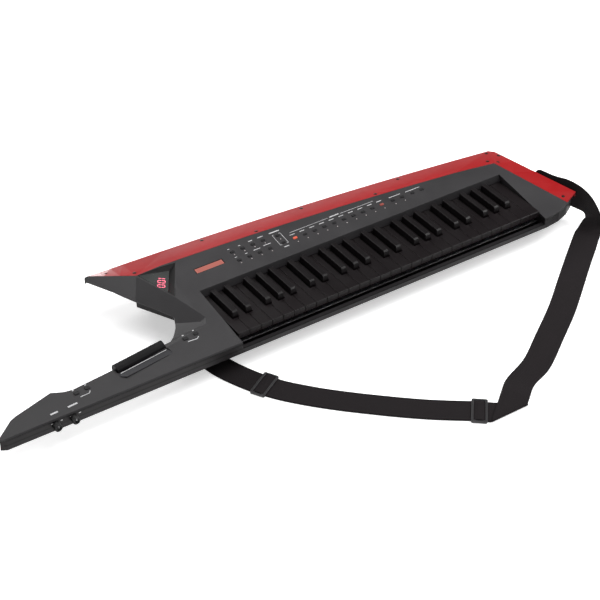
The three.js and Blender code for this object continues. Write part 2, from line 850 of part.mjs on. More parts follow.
// Modulation bar and touch strip, drawn along the bar with the strip in front
function alongBar(height = 0) {
  const [x, y] = barStart;
  const place = new THREE.Matrix4().makeTranslation(x, y, panelHeight(y) + height);
  return place.multiply(new THREE.Matrix4().makeRotationZ(barAngle));
}


function barSolid() {
  const body = lengthwise(barSection, 0, barLength);
  const pin = lengthwise(roundedOutline(2 * barPinRadius, 2 * barPinRadius, barPinRadius)
    .map(([a, b]) => [a + barHinge[0], b + barHinge[1]]), -barPinLength, barLength + barPinLength);
  return body.add(pin);
}

function ribbonOutline(margin) {
  return inset([
    [-ribbonNose, -ribbonWidth / 2],
    [ribbonCorner, -ribbonWidth],
    [ribbonLength - ribbonCorner, -ribbonWidth],
    [ribbonLength, -ribbonWidth + ribbonCorner / 2],
    [ribbonLength - ribbonBarGap, -ribbonBarGap],
    [0, -ribbonBarGap],
  ], -margin);
}

// Upper shell
function topCase() {
  let shell = upright(caseOutline, -seamDepth, overrun);
  shell = shell.subtract(roofCutter(0)).subtract(ridgeCutter());
  shell = shell.subtract(bladeRoom(bladeThickness + runningGap, runningGap));
  const hornBlock = block(-neckTipDistance, hornSolidCorner[0], hornSolidCorner[1], backEdgeRise + overrun,
    -bellyDepth, overrun);
  let hollow = upright(inset(caseOutline, wall), -bellyDepth, overrun);
  hollow = hollow.subtract(roofCutter(panelWall)).subtract(facetCutter(panelWall)).subtract(hornBlock);
  hollow = hollow.subtract(bladeRoom(bladeThickness + runningGap + wall, wall));
  hollow = hollow.subtract(keyWellSurround());
  const pad = upright(inset([windowLeft, windowRimFoot, windowRimTop], -windowPadWidth), -overrun, overrun)
    .intersect(roofCutter(windowPadDepth));
  hollow = hollow.subtract(pad);
  shell = shell.subtract(hollow).subtract(keyWell());
  shell = shell.subtract(hornUndercut()).subtract(facetCutter(0)).subtract(tipCutter());
  const bosses = boardBossPlaces.map(([x, y]) => moved(
    cylinder(bossRadius, runningGap - boardDepth, -panelWall / 2), onPanel(x, y)));
  shell = shell.add(joined(bosses));
  shell = shell.subtract(windowRecess());
  shell = shell.subtract(displayBox(runningGap, 0, displayDepth + displayThickness + 2 * runningGap));
  const [lcdWidth, lcdLength] = lcdSize;
  const lcdHole = roundedOutline(lcdWidth + 2 * runningGap, lcdLength + 2 * runningGap, screenRadius);
  shell = shell.subtract(moved(upright(lcdHole, -overrun / 8, overrun / 8), onPanel(...lcdCentre)));
  const holes = [
    buttonHoles(menuButtons, menuButtonSize),
    buttonHoles(effectButtons, effectButtonSize),
    buttonHoles(toneButtons, toneButtonSize),
    buttonHoles(neckButtonPlaces, neckButtonSize),
  ];
  shell = shell.subtract(joined(holes));
  shell = shell.subtract(moved(upright(ribbonOutline(runningGap), -ribbonThickness - runningGap, overrun / 4),
    alongBar()));
  const barBlocks = joined([-barPinLength - barBlockGap, barLength + barBlockGap].map((x) => block(
    x, x + barPinLength - barBlockClearance, barSlotFront, barBlockBack,
    -barBlockDepths[0], -barBlockDepths[1])));
  shell = shell.add(moved(barBlocks, alongBar()));
  const barSlot = block(-barEndGap, barLength + barEndGap, barSlotFront, barSlotBack, -barSlotDepth,
    overrun / 4);
  const boreWidth = 2 * barPinRadius + 2 * barPinGap;
  const barBore = lengthwise(roundedOutline(boreWidth, boreWidth, barPinRadius)
    .map(([a, b]) => [a + barHinge[0], b + barHinge[1]]), -barPinLength - barBlockClearance,
    barLength + barPinLength + barBlockClearance);
  shell = shell.subtract(moved(barSlot.add(barBore), alongBar()));
  return shell;
}

// Lower shell: a band under the seam, a tray under the keys and a grip under the neck
const bandOutline = [
  [-neckTipDistance + neckTipChamfer + bandInset[0], -frontEdge + bandInset[1]],
  ...bandReaches.map(fromKeyEnd),
  ...backRun(bandBackInset, keyboardLength + bandBackReach, bandBackLeft),
  [-72, 234],
  [-89.5, 197],
  [-53, 126],
  [-54, 110],
  [-62, 90],
  [-80, 70],
  [-110, 50],
  [-130, 42], [-229, 31], [-309, 24], [-346, 32], [-418, 16],
  [-neckTipDistance + 2 * bandInset[0], -neckTipBack],
];

function tray(margin) {
  const ring = (outline, height) => inset(outline, margin).map(([x, y]) => [x, y, height]);
  const top = [trayTopEnds[0], ...trayTopReaches.map(fromKeyEnd), trayTopEnds[1]];
  const bottom = [trayBottomEnds[0], ...trayBottomReaches.map(fromKeyEnd), trayBottomEnds[1]];
  return loft([ring(top, -bandDepth + margin), ring(bottom, -bellyDepth + margin)]);
}

function grip() {
  const front = -frontEdge + gripInset;
  return loft(gripStations.map(([x, back], i) => gripShares.map(([across, fall]) => [
    x,
    front + (back - front) * across,
    -bandDepth + joinDepth - (gripDepth - bandDepth) * fall * gripDepthShares[i],
  ])));
}


function batteryWalls() {
  const [x, y] = batteryCentre;
  const [length, width] = batteryRoom;
  const outline = roundedOutline(length + 2 * wall, width + 2 * wall, bayRadii[0]);
  const outer = upright(outline, -bellyDepth + joinDepth, -batteryRoof - joinDepth);
  return outer.translate(x, y, 0);
}

function batteryHole() {
  const [x, y] = batteryCentre;
  const [length, width] = batteryRoom;
  const room = upright(roundedOutline(length, width, bayRadii[1]), -bellyDepth - overrun, -batteryRoof);
  const seat = upright(roundedOutline(length + 2 * coverMargin, width + 2 * coverMargin, coverRadius),
    -bellyDepth - overrun, -bellyDepth + coverThickness);
  return room.add(seat).translate(x, y, 0);
}

function bottomCase() {
  let shell = upright(bandOutline, -bandDepth, -seamDepth - seamGap);
  shell = shell.add(tray(0)).add(grip());
  const front = block(-neckTipDistance, rightTip, -frontEdge - overrun, railWidth - frontEdge,
    -bellyDepth, 0);
  const cheeks = joined([wellLeft - wall, wellRight].map((x) => block(x, x + wall, -frontEdge, fasciaBottom,
    -bellyDepth, 0)));
  let hollow = upright(inset(bandOutline, wall), -bandDepth + wall, overrun).subtract(front).subtract(cheeks);
  hollow = hollow.add(tray(wall));
  shell = shell.subtract(hollow);
  const well = block(wellLeft, wellRight, -frontEdge - overrun, fasciaBottom, -railDepth, 0);
  shell = shell.subtract(well);
  const post = cylinder(postRadius, -bellyDepth + joinDepth, bedTop - bedThickness - runningGap, 12);
  const posts = postPlaces.map(([x, y]) => post.translate(x, y, 0));
  shell = shell.add(joined(posts)).add(batteryWalls()).subtract(batteryHole());
  const foot = cylinder(footRadius, -bellyDepth - footHeight, -bellyDepth + joinDepth, 20);
  const feet = footPlaces.map(([x, y]) => foot.translate(x, y, 0));
  shell = shell.add(joined(feet));
  const screws = bellyScrewPlaces.map(([x, y]) => cylinder(screwRadius + runningGap, -bellyDepth - joinDepth,
    -bellyDepth + screwHeight + runningGap, 10).translate(x, y, 0));
  shell = shell.subtract(joined(screws));
  const boreOutline = roundedOutline(2 * knobBoreRadius, 2 * knobBoreRadius, knobBoreRadius);
  const knobBores = knobPlaces.map((x) => crosswise(boreOutline, -frontEdge - overrun, 0)
    .translate(x, 0, knobLevel));
  shell = shell.subtract(joined(knobBores));
  const [jackWidth, jackHeight] = jackPanelSize.map((size) => size / 2 + runningGap);
  shell = shell.subtract(moved(
    block(-jackWidth, jackWidth, -overrun / 4, overrun / 4, -jackHeight, jackHeight), jackPlace));
  return shell;
}

// A frame on an edge of the band: first axis along the edge, second axis out of the wall
function onBandEdge(from, to, share, height) {
  const start = new THREE.Vector3(from[0], from[1], 0);
  const end = new THREE.Vector3(to[0], to[1], 0);
  const up = new THREE.Vector3(0, 0, 1);
  const along = start.clone().sub(end).normalize();
  const out = up.clone().cross(along);
  const place = new THREE.Matrix4().makeBasis(along, out, up);
  return place.setPosition(start.lerp(end, share).setZ(height));
}

const bandLevel = -(seamDepth + bandDepth) / 2;
const jackPlace = onBandEdge(bandOutline[8], bandOutline[9], jackPanelShare, bandLevel);
const rightPinPlace = onBandEdge(bandOutline[4], bandOutline[5], rightPinShare, bandLevel);
const leftPinPlace = onBandEdge(bandOutline[13], bandOutline[14], leftPinShare, bandLevel);

// Steel key bed with the seat of the pivot rod

function keyBed() {
  const section = [
    [bedFront, bedTop - bedThickness],
    [bedBack, bedTop - bedThickness],
    [bedBack, bedTop],
    [pivotDistance + bedSeatWidth / 2, bedTop],
    [pivotDistance + bedSeatWidth / 2, -pivotDepth - bedSeatTop],
    [pivotDistance - bedSeatWidth / 2, -pivotDepth - bedSeatTop],
    [pivotDistance - bedSeatWidth / 2, bedTop],
    [bedFront + bedThickness, bedTop],
    [bedFront + bedThickness, bedTop + bedLip],
    [bedFront, bedTop + bedLip],
  ];
  const plate = lengthwise(section, bedEndGap, keyboardLength - bedEndGap);
  const hangerPlaces = [-pivotRodOverhang, keyboardLength + pivotRodOverhang - hangerThickness];
  const ends = joined(hangerPlaces.map((x) => lengthwise([
    [pivotDistance - bedSeatWidth, bedTop - bedThickness],
    [pivotDistance + bedSeatWidth, bedTop - bedThickness],
    [pivotDistance + hangerReach, -pivotDepth + hangerReach],
    [pivotDistance - hangerReach, -pivotDepth + hangerReach],
  ], x, x + hangerThickness)));
  const links = joined([-pivotRodOverhang, keyboardLength - bedLinkLap].map((x) => block(x, x + bedLinkLength,
    pivotDistance - bedSeatWidth, pivotDistance + bedSeatWidth, bedTop - bedThickness, bedTop)));
  const groove = rod(pivotRodRadius + runningGap, overrun);
  return plate.add(ends).add(links).subtract(groove);
}

function rod(radius, reach) {
  const steps = 16;
  const outline = Array.from({ length: steps }, (_, i) => {
    const angle = 2 * Math.PI * i / steps;
    return [pivotDistance + radius * Math.cos(angle), -pivotDepth + radius * Math.sin(angle)];
  });
  return lengthwise(outline, -reach, keyboardLength + reach);
}

// Keys: an octave has five equal slots from its first key, then seven
const octaveWhites = 7;
const whiteSlots = [0, 2, 4, 5, 7, 9, 11];
const blackSlots = [1, 3, 6, 8, 10];

function slotEdge(slot) {
  const lower = 3 * whiteKeyPitch;
  return slot <= 5 ? lower * slot / 5 : lower + (octaveWhites * whiteKeyPitch - lower) * (slot - 5) / 7;
}

const tailEnd = pivotDistance + keyTailBehindPivot;

function whiteKey(index) {
  const octave = Math.floor(index / octaveWhites);
  const degree = index % octaveWhites;
  const start = octave * octaveWhites * whiteKeyPitch;
  const left = index * whiteKeyPitch + keyGap / 2;
  const right = (index + 1) * whiteKeyPitch - keyGap / 2;
  const isLast = index === whiteKeyCount - 1;
  const slot = whiteSlots[degree];
  const tailLeft = start + slotEdge(slot) + keyGap / 2;
  const tailRight = start + (isLast ? whiteKeyPitch : slotEdge(slot + 1)) - keyGap / 2;
  const plan = [
    [left, 0], [right, 0], [right, whiteKeyFrontLength], [tailRight, whiteKeyFrontLength],
    [tailRight, tailEnd], [tailLeft, tailEnd], [tailLeft, whiteKeyFrontLength], [left, whiteKeyFrontLength],
  ].filter((point, i, all) => point.some((value, axis) => value !== all[(i + 1) % all.length][axis]));
  const side = lengthwise([
    [0, -whiteKeyThickness],
    [0, -whiteKeyEdgeRadius],
    [whiteKeyEdgeRadius / 3, -whiteKeyEdgeRadius / 3],
    [whiteKeyEdgeRadius, 0],
    [tailEnd, 0],
    [tailEnd, -whiteKeyThickness],
  ], Math.min(left, tailLeft), Math.max(right, tailRight));
  const body = upright(plan, -whiteKeyThickness, 0).intersect(side);
  const reliefTop = keyRelief - whiteKeyThickness;
  const frontRelief = block(left + keySkin, right - keySkin, keySkin, whiteKeyFrontLength - keySkin,
    -whiteKeyThickness - overrun, reliefTop);
  const tailRelief = block(Math.max(left, tailLeft) + keySkin, Math.min(right, tailRight) - keySkin, keySkin,
    pivotDistance - keyReliefEnd, -whiteKeyThickness - overrun, reliefTop);
  return body.subtract(frontRelief.add(tailRelief)).subtract(rod(pivotRodRadius + runningGap, overrun));
}

function blackKey(centre) {
  const side = lengthwise([
    [blackKeyFront, -whiteKeyThickness],
    [blackKeyFront, blackKeyShoulderHeight],
    [blackKeyFront + blackKeyNoseLength * blackKeyNoseShares[0], blackKeyHeight * blackKeyNoseShares[1]],
    [blackKeyFront + blackKeyNoseLength, blackKeyHeight],
    [blackKeyBack, blackKeyHeight],
    [blackKeyBack, 0],
    [tailEnd + combSpineDepth / 2, 0],
    [tailEnd + combSpineDepth / 2, -combSpineHeight],
    [tailEnd, -whiteKeyThickness],
  ], centre - blackKeyWidth / 2, centre + blackKeyWidth / 2);
  const section = crosswise([
    [centre - blackKeyWidth / 2, -whiteKeyThickness],
    [centre + blackKeyWidth / 2, -whiteKeyThickness],
    [centre + blackKeyWidth / 2, blackKeyShoulderHeight],
    [centre + blackKeyTopWidth / 2, blackKeyHeight],
    [centre - blackKeyTopWidth / 2, blackKeyHeight],
    [centre - blackKeyWidth / 2, blackKeyShoulderHeight],
  ], blackKeyFront - overrun, tailEnd + overrun);
  const half = (blackKeyTopWidth - keySkin) / 2;
  const hollow = block(centre - half, centre + half,
    blackKeyFront + keySkin + blackKeyNoseLength, blackKeyBack - keySkin, -whiteKeyThickness - overrun,
    keyRelief - whiteKeyThickness);
  return side.intersect(section).subtract(hollow);
}

function blackKeySet(octave) {
  const start = octave * octaveWhites * whiteKeyPitch;
  const centres = blackSlots.map((slot) => start + (slotEdge(slot) + slotEdge(slot + 1)) / 2);
  const spine = block(centres[0] - blackKeyWidth / 2, centres.at(-1) + blackKeyWidth / 2,
    tailEnd + keyGap, tailEnd + combSpineDepth, -combSpineHeight, 0);
  return joined(centres.map(blackKey)).add(spine).subtract(rod(pivotRodRadius + runningGap, overrun));
}

// Shells, blade and screws

// A place on the blade's face with its axis square to the face.
function onBlade(from, to, along, across) {
  const innerFrom = new THREE.Vector3(...from[0]);
  const outerFrom = new THREE.Vector3(...from[1]);
  const innerTo = new THREE.Vector3(...to[0]);
  const outerTo = new THREE.Vector3(...to[1]);
  const inner = innerFrom.clone().lerp(innerTo, along);
  const outer = outerFrom.clone().lerp(outerTo, along);
  const first = outer.clone().sub(inner).normalize();
  const edge = innerTo.clone().lerp(outerTo, across);
  edge.sub(innerFrom.clone().lerp(outerFrom, across)).normalize();
  const up = edge.clone().cross(first).normalize();
  const place = new THREE.Matrix4().makeBasis(first, up.clone().cross(first), up);
  return place.setPosition(inner.lerp(outer, across));
}

function coverScrewPlaces() {
  const lengths = [...bladeScrewPlaces, ...bladeScrewReaches.map((x) => keyboardLength + x)];
  const places = lengths.map((x, screw) => {
    const across = bladeScrewShares[screw];
    const middle = ([inner, outer]) => inner[0] + (outer[0] - inner[0]) * across;
    const i = stations.findIndex((station, k) => k > 0 && middle(station) >= x);
    const from = middle(stations[i - 1]);
    const to = middle(stations[i]);
    return onBlade(stations[i - 1], stations[i], (x - from) / (to - from), across);
  });
  const corner = stations.at(-5);
  const ends = bladeEndScrewShares.map(([along, across]) => onBlade(corner, stations.at(-1), along, across));
  return [...places, ...ends];
}

const screwPlaces = coverScrewPlaces();

function screwHead(top, bottom, radius) {
  return cylinder(radius, bottom, top, 10);
}

const blade = bladeSolid().subtract(joined(screwPlaces.map((place) => moved(
  screwHead(overrun / 8, -screwHeight - screwSink - runningGap / 2, screwRadius + runningGap / 2), place))));

addPart('top_case', topCase(), colours.shell, 0.45);
addPart('bottom_case', bottomCase(), colours.underside, 0.6);
addPart('edge_blade', blade, colours.blade, 0.3);

// Keyboard
addPart('key_bed', keyBed(), colours.steel, 0.5, 1);
addPart('key_pivot_rod', rod(pivotRodRadius, pivotRodOverhang), colours.steel, 0.3, 1);
for (let index = 0; index < whiteKeyCount; index += 1) {
  addPart(`white_key_${String(index + 1).padStart(2, '0')}`, whiteKey(index), colours.whiteKey, 0.35);
}
for (let octave = 0; octave < 4; octave += 1) {
  addPart(`black_keys_octave_${octave + 1}`, blackKeySet(octave), colours.blackKey, 0.15);
}

// Panel
const boardOutline = [boardStart, ...boardReaches.map(fromKeyEnd), ...boardBack];
const board = moved(upright(boardOutline, -boardDepth - boardThickness, -boardDepth), onPanel(0, boardFront));
addPart('circuit_board', board, colours.board, 0.6);
const lcd = upright(roundedOutline(...lcdSize, screenRadius), runningGap - boardDepth, -lcdRecess);
addPart('lcd_screen', moved(lcd, onPanel(...lcdCentre)), colours.lcd, 0.2);
addPart('display_window', paneSolid(), colours.glass, 0.1);
addPart('number_display', displayBox(0, displayDepth, displayDepth + displayThickness), colours.digits, 0.4);
addPart('menu_buttons', keypad([[menuButtons, menuButtonSize], [effectButtons, effectButtonSize]]),
  colours.button, 0.7);
addPart('tone_buttons', keypad([[toneButtons, toneButtonSize]]), colours.button, 0.7);

// Neck
neckButtonPlaces.forEach((place, i) => {
  addPart(neckButtonNames[i], buttonCaps([place], neckButtonSize), colours.button, 0.7);
});
const ribbon = upright(ribbonOutline(0), -ribbonThickness, 0);
addPart('ribbon_strip', moved(ribbon, alongBar()), colours.glass, 0.3);
addPart('modulation_bar', moved(barSolid(), alongBar()), colours.button, 0.4);

function knob() {
  const profile = [
    [0, 0], [knobRadius - knobEdge, 0], [knobRadius, knobEdge], [knobRadius, knobDepth],
    [knobShaftRadius, knobDepth], [knobShaftRadius, knobDepth + railWidth + knobShaftEnd],
    [0, knobDepth + railWidth + knobShaftEnd],
  ];
  const body = revolved(profile, 20);
  return body.rotate([-90, 0, 0]).translate(0, -frontEdge - knobDepth - runningGap + knobSink, 0);
}

knobPlaces.forEach((x, i) => {
  addPart(`assign_knob_${i + 1}`, knob().translate(x, 0, knobLevel), colours.button, 0.4);
});

// Underside and ends
const coverSize = batteryRoom.map((size) => size + 2 * (coverMargin - runningGap));
const batteryCover = upright(roundedOutline(...coverSize, coverRadius), -bellyDepth,
  -bellyDepth + coverThickness - runningGap);
addPart('battery_cover', batteryCover.translate(...batteryCentre, 0), colours.underside, 0.6);

function batteryPack() {
  const [x0, y0] = batteryCentre;
  const [length, width] = batteryRoom;
  const floor = -bellyDepth + coverThickness;
  const holder = block(x0 - length / 2 + holderGap, x0 + length / 2 - holderGap, y0 - width / 2 + holderGap,
    y0 + width / 2 - holderGap, floor, floor + holderHeight);
  const cells = [holder];
  for (const column of [-1, 1]) {
    for (let line = 0; line < cellRowCount; line += 1) {
      const y = y0 + (line - (cellRowCount - 1) / 2) * (2 * cellRadius + cellGap);
      const x = x0 + column * (cellLength / 2 + cellGap);
      const outline = roundedOutline(2 * cellRadius, 2 * cellRadius, cellRadius);
      cells.push(lengthwise(outline, -cellLength / 2, cellLength / 2)
        .translate(x, y, floor + cellRadius));
    }
  }
  return joined(cells);
}

addPart('battery_pack', batteryPack(), colours.cell, 0.4);

// A round socket's barrel on the back of the panel, open at the front
function roundSocket(panel, x, [radius, bore], [depth, reach]) {
  const barrel = crosswise(roundedOutline(2 * radius, 2 * radius, radius), -depth, -joinDepth);
  const opening = crosswise(roundedOutline(2 * bore, 2 * bore, bore), -reach, joinDepth);
  return panel.add(barrel.translate(x, 0, 0)).subtract(opening.translate(x, 0, 0));
}

function jackPanel() {
  const [length, height] = jackPanelSize;
  const [face, back] = jackPanelDepths;
  let panel = block(-length / 2, length / 2, -back, -face, -height / 2, height / 2);
  for (const x of socketPlaces) {
    panel = roundSocket(panel, x, socketRadii, socketDepths);
  }
  const [left, right] = dataSocket;
  const half = dataSocketHeight / 2;
  const inner = half - dataSocketWall;
  panel = panel.add(block(left, right, -dataSocketDepths[0], -joinDepth, -half, half));
  panel = panel.subtract(block(left + dataSocketWall, right - dataSocketWall, -dataSocketDepths[1], joinDepth,
    -inner, inner));
  return roundSocket(panel, supplySocket, supplySocketRadii, supplySocketDepths);
}

addPart('jack_panel', moved(jackPanel(), jackPlace), colours.underside, 0.5);


function strapPin(place) {
  const pin = revolved(pinProfile, 16).rotate([-90, 0, 0]).translate(0, runningGap, 0);
  return moved(pin, place);
}

addPart('strap_pin_right', strapPin(rightPinPlace), colours.steel, 0.3, 1);
addPart('strap_pin_left', strapPin(leftPinPlace), colours.steel, 0.3, 1);

// Strap: flat webbing as stations, each a middle point and half its width as a vector.
const strapRestLevel = -bellyDepth - footHeight + strapLift + strapThickness / 2;
const upwards = new THREE.Vector3(0, 0, 1);

function station(middle, half) {
  return { middle, half };
}

// Samples a smooth line through points, each a place and the direction of the strap's width.
function strapRun(points, stepsEach) {
  const middles = new THREE.CatmullRomCurve3(points.map(([x, y, z]) => new THREE.Vector3(x, y, z)));
  const widths = new THREE.CatmullRomCurve3(points.map(([, , , x, y, z]) => new THREE.Vector3(x, y, z)));
  const count = (points.length - 1) * stepsEach;
  return Array.from({ length: count + 1 }, (_, i) => {
    const ahead = middles.getTangent(i / count);
    const half = widths.getPoint(i / count);
    half.addScaledVector(ahead, -half.dot(ahead)).setLength(strapWidth / 2);
    return station(middles.getPoint(i / count), half);
  });
}

// A level run through plan points, with its width to one side of its heading.
function levelRun(points, side, stepsEach) {
  const curve = new THREE.CatmullRomCurve3(points.map(([x, y]) => new THREE.Vector3(x, y, strapRestLevel)));
  const count = (points.length - 1) * stepsEach;
  return Array.from({ length: count + 1 }, (_, i) => {
    const half = curve.getTangent(i / count).cross(upwards).setLength(side * strapWidth / 2);
    return station(curve.getPoint(i / count), half);
  });
}

function strapSolid(stationList) {
  const rings = stationList.map(({ middle, half }, i) => {
    const before = stationList[Math.max(i - 1, 0)].middle;
    const after = stationList[Math.min(i + 1, stationList.length - 1)].middle;
    const face = after.clone().sub(before).cross(half).setLength(strapThickness / 2);
    return [[-1, -1], [1, -1], [1, 1], [-1, 1]].map(([across, through]) => middle.clone()
      .addScaledVector(half, across).addScaledVector(face, through).toArray());
  });
  return loft(rings);
}

// The end on the right pin: it stands on edge, leans outwards and has a rounded tail.
const strapLean = THREE.MathUtils.degToRad(strapLeanDegrees);
const tailShares = [0.5, 0.8, 1, 1];
const rightAlong = new THREE.Vector3();
const rightOut = new THREE.Vector3();
rightPinPlace.extractBasis(rightAlong, rightOut, new THREE.Vector3());
const rightPin = new THREE.Vector3().setFromMatrixPosition(rightPinPlace);
const rightHeading = rightOut.clone().cross(upwards);
const rightWidth = upwards.clone().multiplyScalar(Math.cos(strapLean));
rightWidth.addScaledVector(rightOut, Math.sin(strapLean));

const pinMiddle = rightPin.clone().addScaledVector(rightOut, strapSeat).addScaledVector(rightWidth,
  strapRise);
const rightTail = tailReaches.map((reach, i) => station(
  pinMiddle.clone().addScaledVector(rightHeading, reach),
  rightWidth.clone().multiplyScalar(tailShares[i] * strapWidth / 2)));

const dropRoute = [
  [...pinMiddle.toArray(), ...rightWidth.toArray()],
  [...pinMiddle.clone().addScaledVector(rightHeading, 24).toArray(), ...rightWidth.toArray()],
  [784, 42, -15, 0.2, 0.05, 0.97],
  [793, 14, -17, 0.1, -0.15, 0.98],
  [798, -9, -23, -0.05, -0.45, 0.89],
  [798, -27, -38, -0.05, -0.8, 0.6],
  [788, -36, -53, 0.35, -0.87, 0.35],
  [767, -48, strapRestLevel + 1.5, 0.5, -0.86, 0.05],
];

// Where the strap is folded over, its width lies along the fold.
const foldMiddle = new THREE.Vector3(309.5, -368, strapRestLevel);
const foldAngle = THREE.MathUtils.degToRad(39.5);
const foldRadius = 1.8;
const arriving = new THREE.Vector3(-Math.cos(foldAngle), -Math.sin(foldAngle), 0);
const leaving = new THREE.Vector3(-Math.cos(foldAngle), Math.sin(foldAngle), 0);

function onFold(heading, distance, lift, side) {
  const middle = foldMiddle.clone().addScaledVector(heading, distance).addScaledVector(upwards, lift);
  return station(middle, heading.clone().cross(upwards).setLength(side * strapWidth / 2));
}

const foldHalf = new THREE.Vector3(strapWidth / 2 / Math.sin(foldAngle), 0, 0);
const foldSteps = 4;
const foldTurn = Array.from({ length: foldSteps + 1 }, (_, i) => {
  const angle = Math.PI * i / foldSteps;
  const middle = foldMiddle.clone();
  middle.y += foldRadius * (1 - Math.sin(angle));
  middle.z += foldRadius * (1 + Math.cos(angle));
  return station(middle, foldHalf.clone());
});

// Sliders: two side bars and three cross bars, with the strap over the middle one

function slider(centre, heading) {
  const bottom = strapLift;
  const overTop = strapLift + strapThickness + runningGap;
  const top = overTop + sliderBarHeight;
  const sides = [-1, 1].map((side) => {
    const inner = strapWidth / 2 + 2 * runningGap;
    const edges = [side * inner, side * sliderWidth / 2].sort((a, b) => a - b);
    return block(...edges, -sliderLength / 2, sliderLength / 2, bottom, top);
  });
  const bars = [-1, 1].map((side) => {
    const edges = [side * sliderLength / 2, side * (sliderLength / 2 - sliderBar)].sort((a, b) => a - b);
    return block(-sliderWidth / 2, sliderWidth / 2, ...edges, overTop, top);
  });
  const middle = block(-sliderWidth / 2, sliderWidth / 2, -sliderBar / 2, sliderBar / 2, bottom,
    bottom + sliderBarHeight);
  const turn = Math.atan2(heading.y, heading.x) - Math.PI / 2;
  const place = new THREE.Matrix4().makeTranslation(centre.x, centre.y, -bellyDepth - footHeight);
  return moved(joined([...sides, ...bars, middle]), place.multiply(new THREE.Matrix4().makeRotationZ(turn)));
}

function overBar(centre, heading) {
  const half = heading.clone().cross(upwards).setLength(strapWidth / 2);
  const lifts = [[-15, 0], [-9, 0], [-3, sliderLift], [3, sliderLift], [9, 0], [15, 0]];
  return lifts.map(([reach, lift]) => {
    const middle = new THREE.Vector3(centre.x, centre.y, strapRestLevel + lift);
    return station(middle.addScaledVector(heading, reach), half.clone());
  });
}

const farSlider = new THREE.Vector3(269.5, -335, 0);
const nearSlider = new THREE.Vector3(3, -77, 0);
const nearHeading = new THREE.Vector3(-0.5, 0.866, 0);

// The end on the left pin: it comes out under the back edge and bends up to the pin.
const leftAlong = new THREE.Vector3();
const leftOut = new THREE.Vector3();
leftPinPlace.extractBasis(leftAlong, leftOut, new THREE.Vector3());
const leftPin = new THREE.Vector3().setFromMatrixPosition(leftPinPlace);

function leftStation(reach, height, share = 1) {
  const middle = leftPin.clone().addScaledVector(leftOut, reach).setZ(height);
  return station(middle, leftOut.clone().cross(upwards).setLength(share * strapWidth / 2));
}

const bendSteps = 4;
const leftBend = Array.from({ length: bendSteps + 1 }, (_, i) => {
  const angle = Math.PI / 2 * i / bendSteps;
  return leftStation(leftSeat - leftBendRadius * (1 - Math.sin(angle)),
    strapRestLevel + leftBendRadius * (1 - Math.cos(angle)));
});
const leftEnd = [[-13, 1], [0, 1], [5, 0.9], [leftTailRise, 0.6]].map(([rise, share]) => leftStation(
  leftSeat, leftPin.z + rise, share));
const bendStart = leftStation(leftSeat - leftBendRadius, strapRestLevel).middle;

const frontRoute = [[741, -68], [691, -106], [626, -157], [572, -199], [493, -252], [424, -298],
  [379, -311]];
const strapStations = [
  ...rightTail,
  ...strapRun(dropRoute, 3),
  ...levelRun(frontRoute, -1, 2).slice(0, -2),
  onFold(arriving, -90, 0, -1),
  onFold(arriving, -62, 2 * foldRadius, -1),
  onFold(arriving, -34, 2 * foldRadius, -1),
  ...foldTurn,
  onFold(leaving, 32, 0, 1),
  ...overBar(farSlider, leaving),
  ...levelRun([[225, -302], [190, -275], [122, -214.5], [65, -158.5], [22, -108]], 1, 2),
  ...overBar(nearSlider, nearHeading),
  ...levelRun([[-12, -49], [-27, -12], [-36, 25], [-34, 66], [-22, 108], [-8, 150], [1, 192],
    [bendStart.x, bendStart.y - 8]], 1, 2),
  ...leftBend,
  ...leftEnd,
];

const pinHoleRadius = pinNeckRadius + 2 * runningGap;
const pinHoles = [rightPinPlace, leftPinPlace].map((place) => moved(
  cylinder(pinHoleRadius, -overrun / 2, 0, 12).rotate([90, 0, 0]), place));
addPart('shoulder_strap', strapSolid(strapStations).subtract(joined(pinHoles)), colours.webbing, 0.9);
addPart('strap_slider_1', slider(nearSlider, nearHeading), colours.button, 0.4);
addPart('strap_slider_2', slider(farSlider, leaving), colours.button, 0.4);

// The origin is on the surface, under the middle of the instrument without its strap.
const strapParts = ['shoulder_strap', 'strap_slider_1', 'strap_slider_2'];
const rigidBox = new THREE.Box3();
for (const part of instrument.children) {
  if (!strapParts.includes(part.name)) rigidBox.expandByObject(part);
}
const middle = rigidBox.getCenter(new THREE.Vector3());
instrument.position.set(-middle.x, -middle.y, -rigidBox.min.z);

const keytar = new THREE.Group();
keytar.add(instrument);

export default keytar;
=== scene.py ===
# %% [markdown]
# # A keytar, dressed in Blender
# A keytar is a keyboard that hangs on a strap like a guitar: the right hand plays the keys, and the left hand works
# the neck. The CAD model comes in as a fixed frame, in metres, with every solid in its place. This lesson gives
# each solid its finish and adds what is too fine or too soft for CAD: webbing, screws, prints, digits and lenses.

# %% Load the frame
import json
import math
import bmesh
import bpy
from mathutils import Matrix, Vector


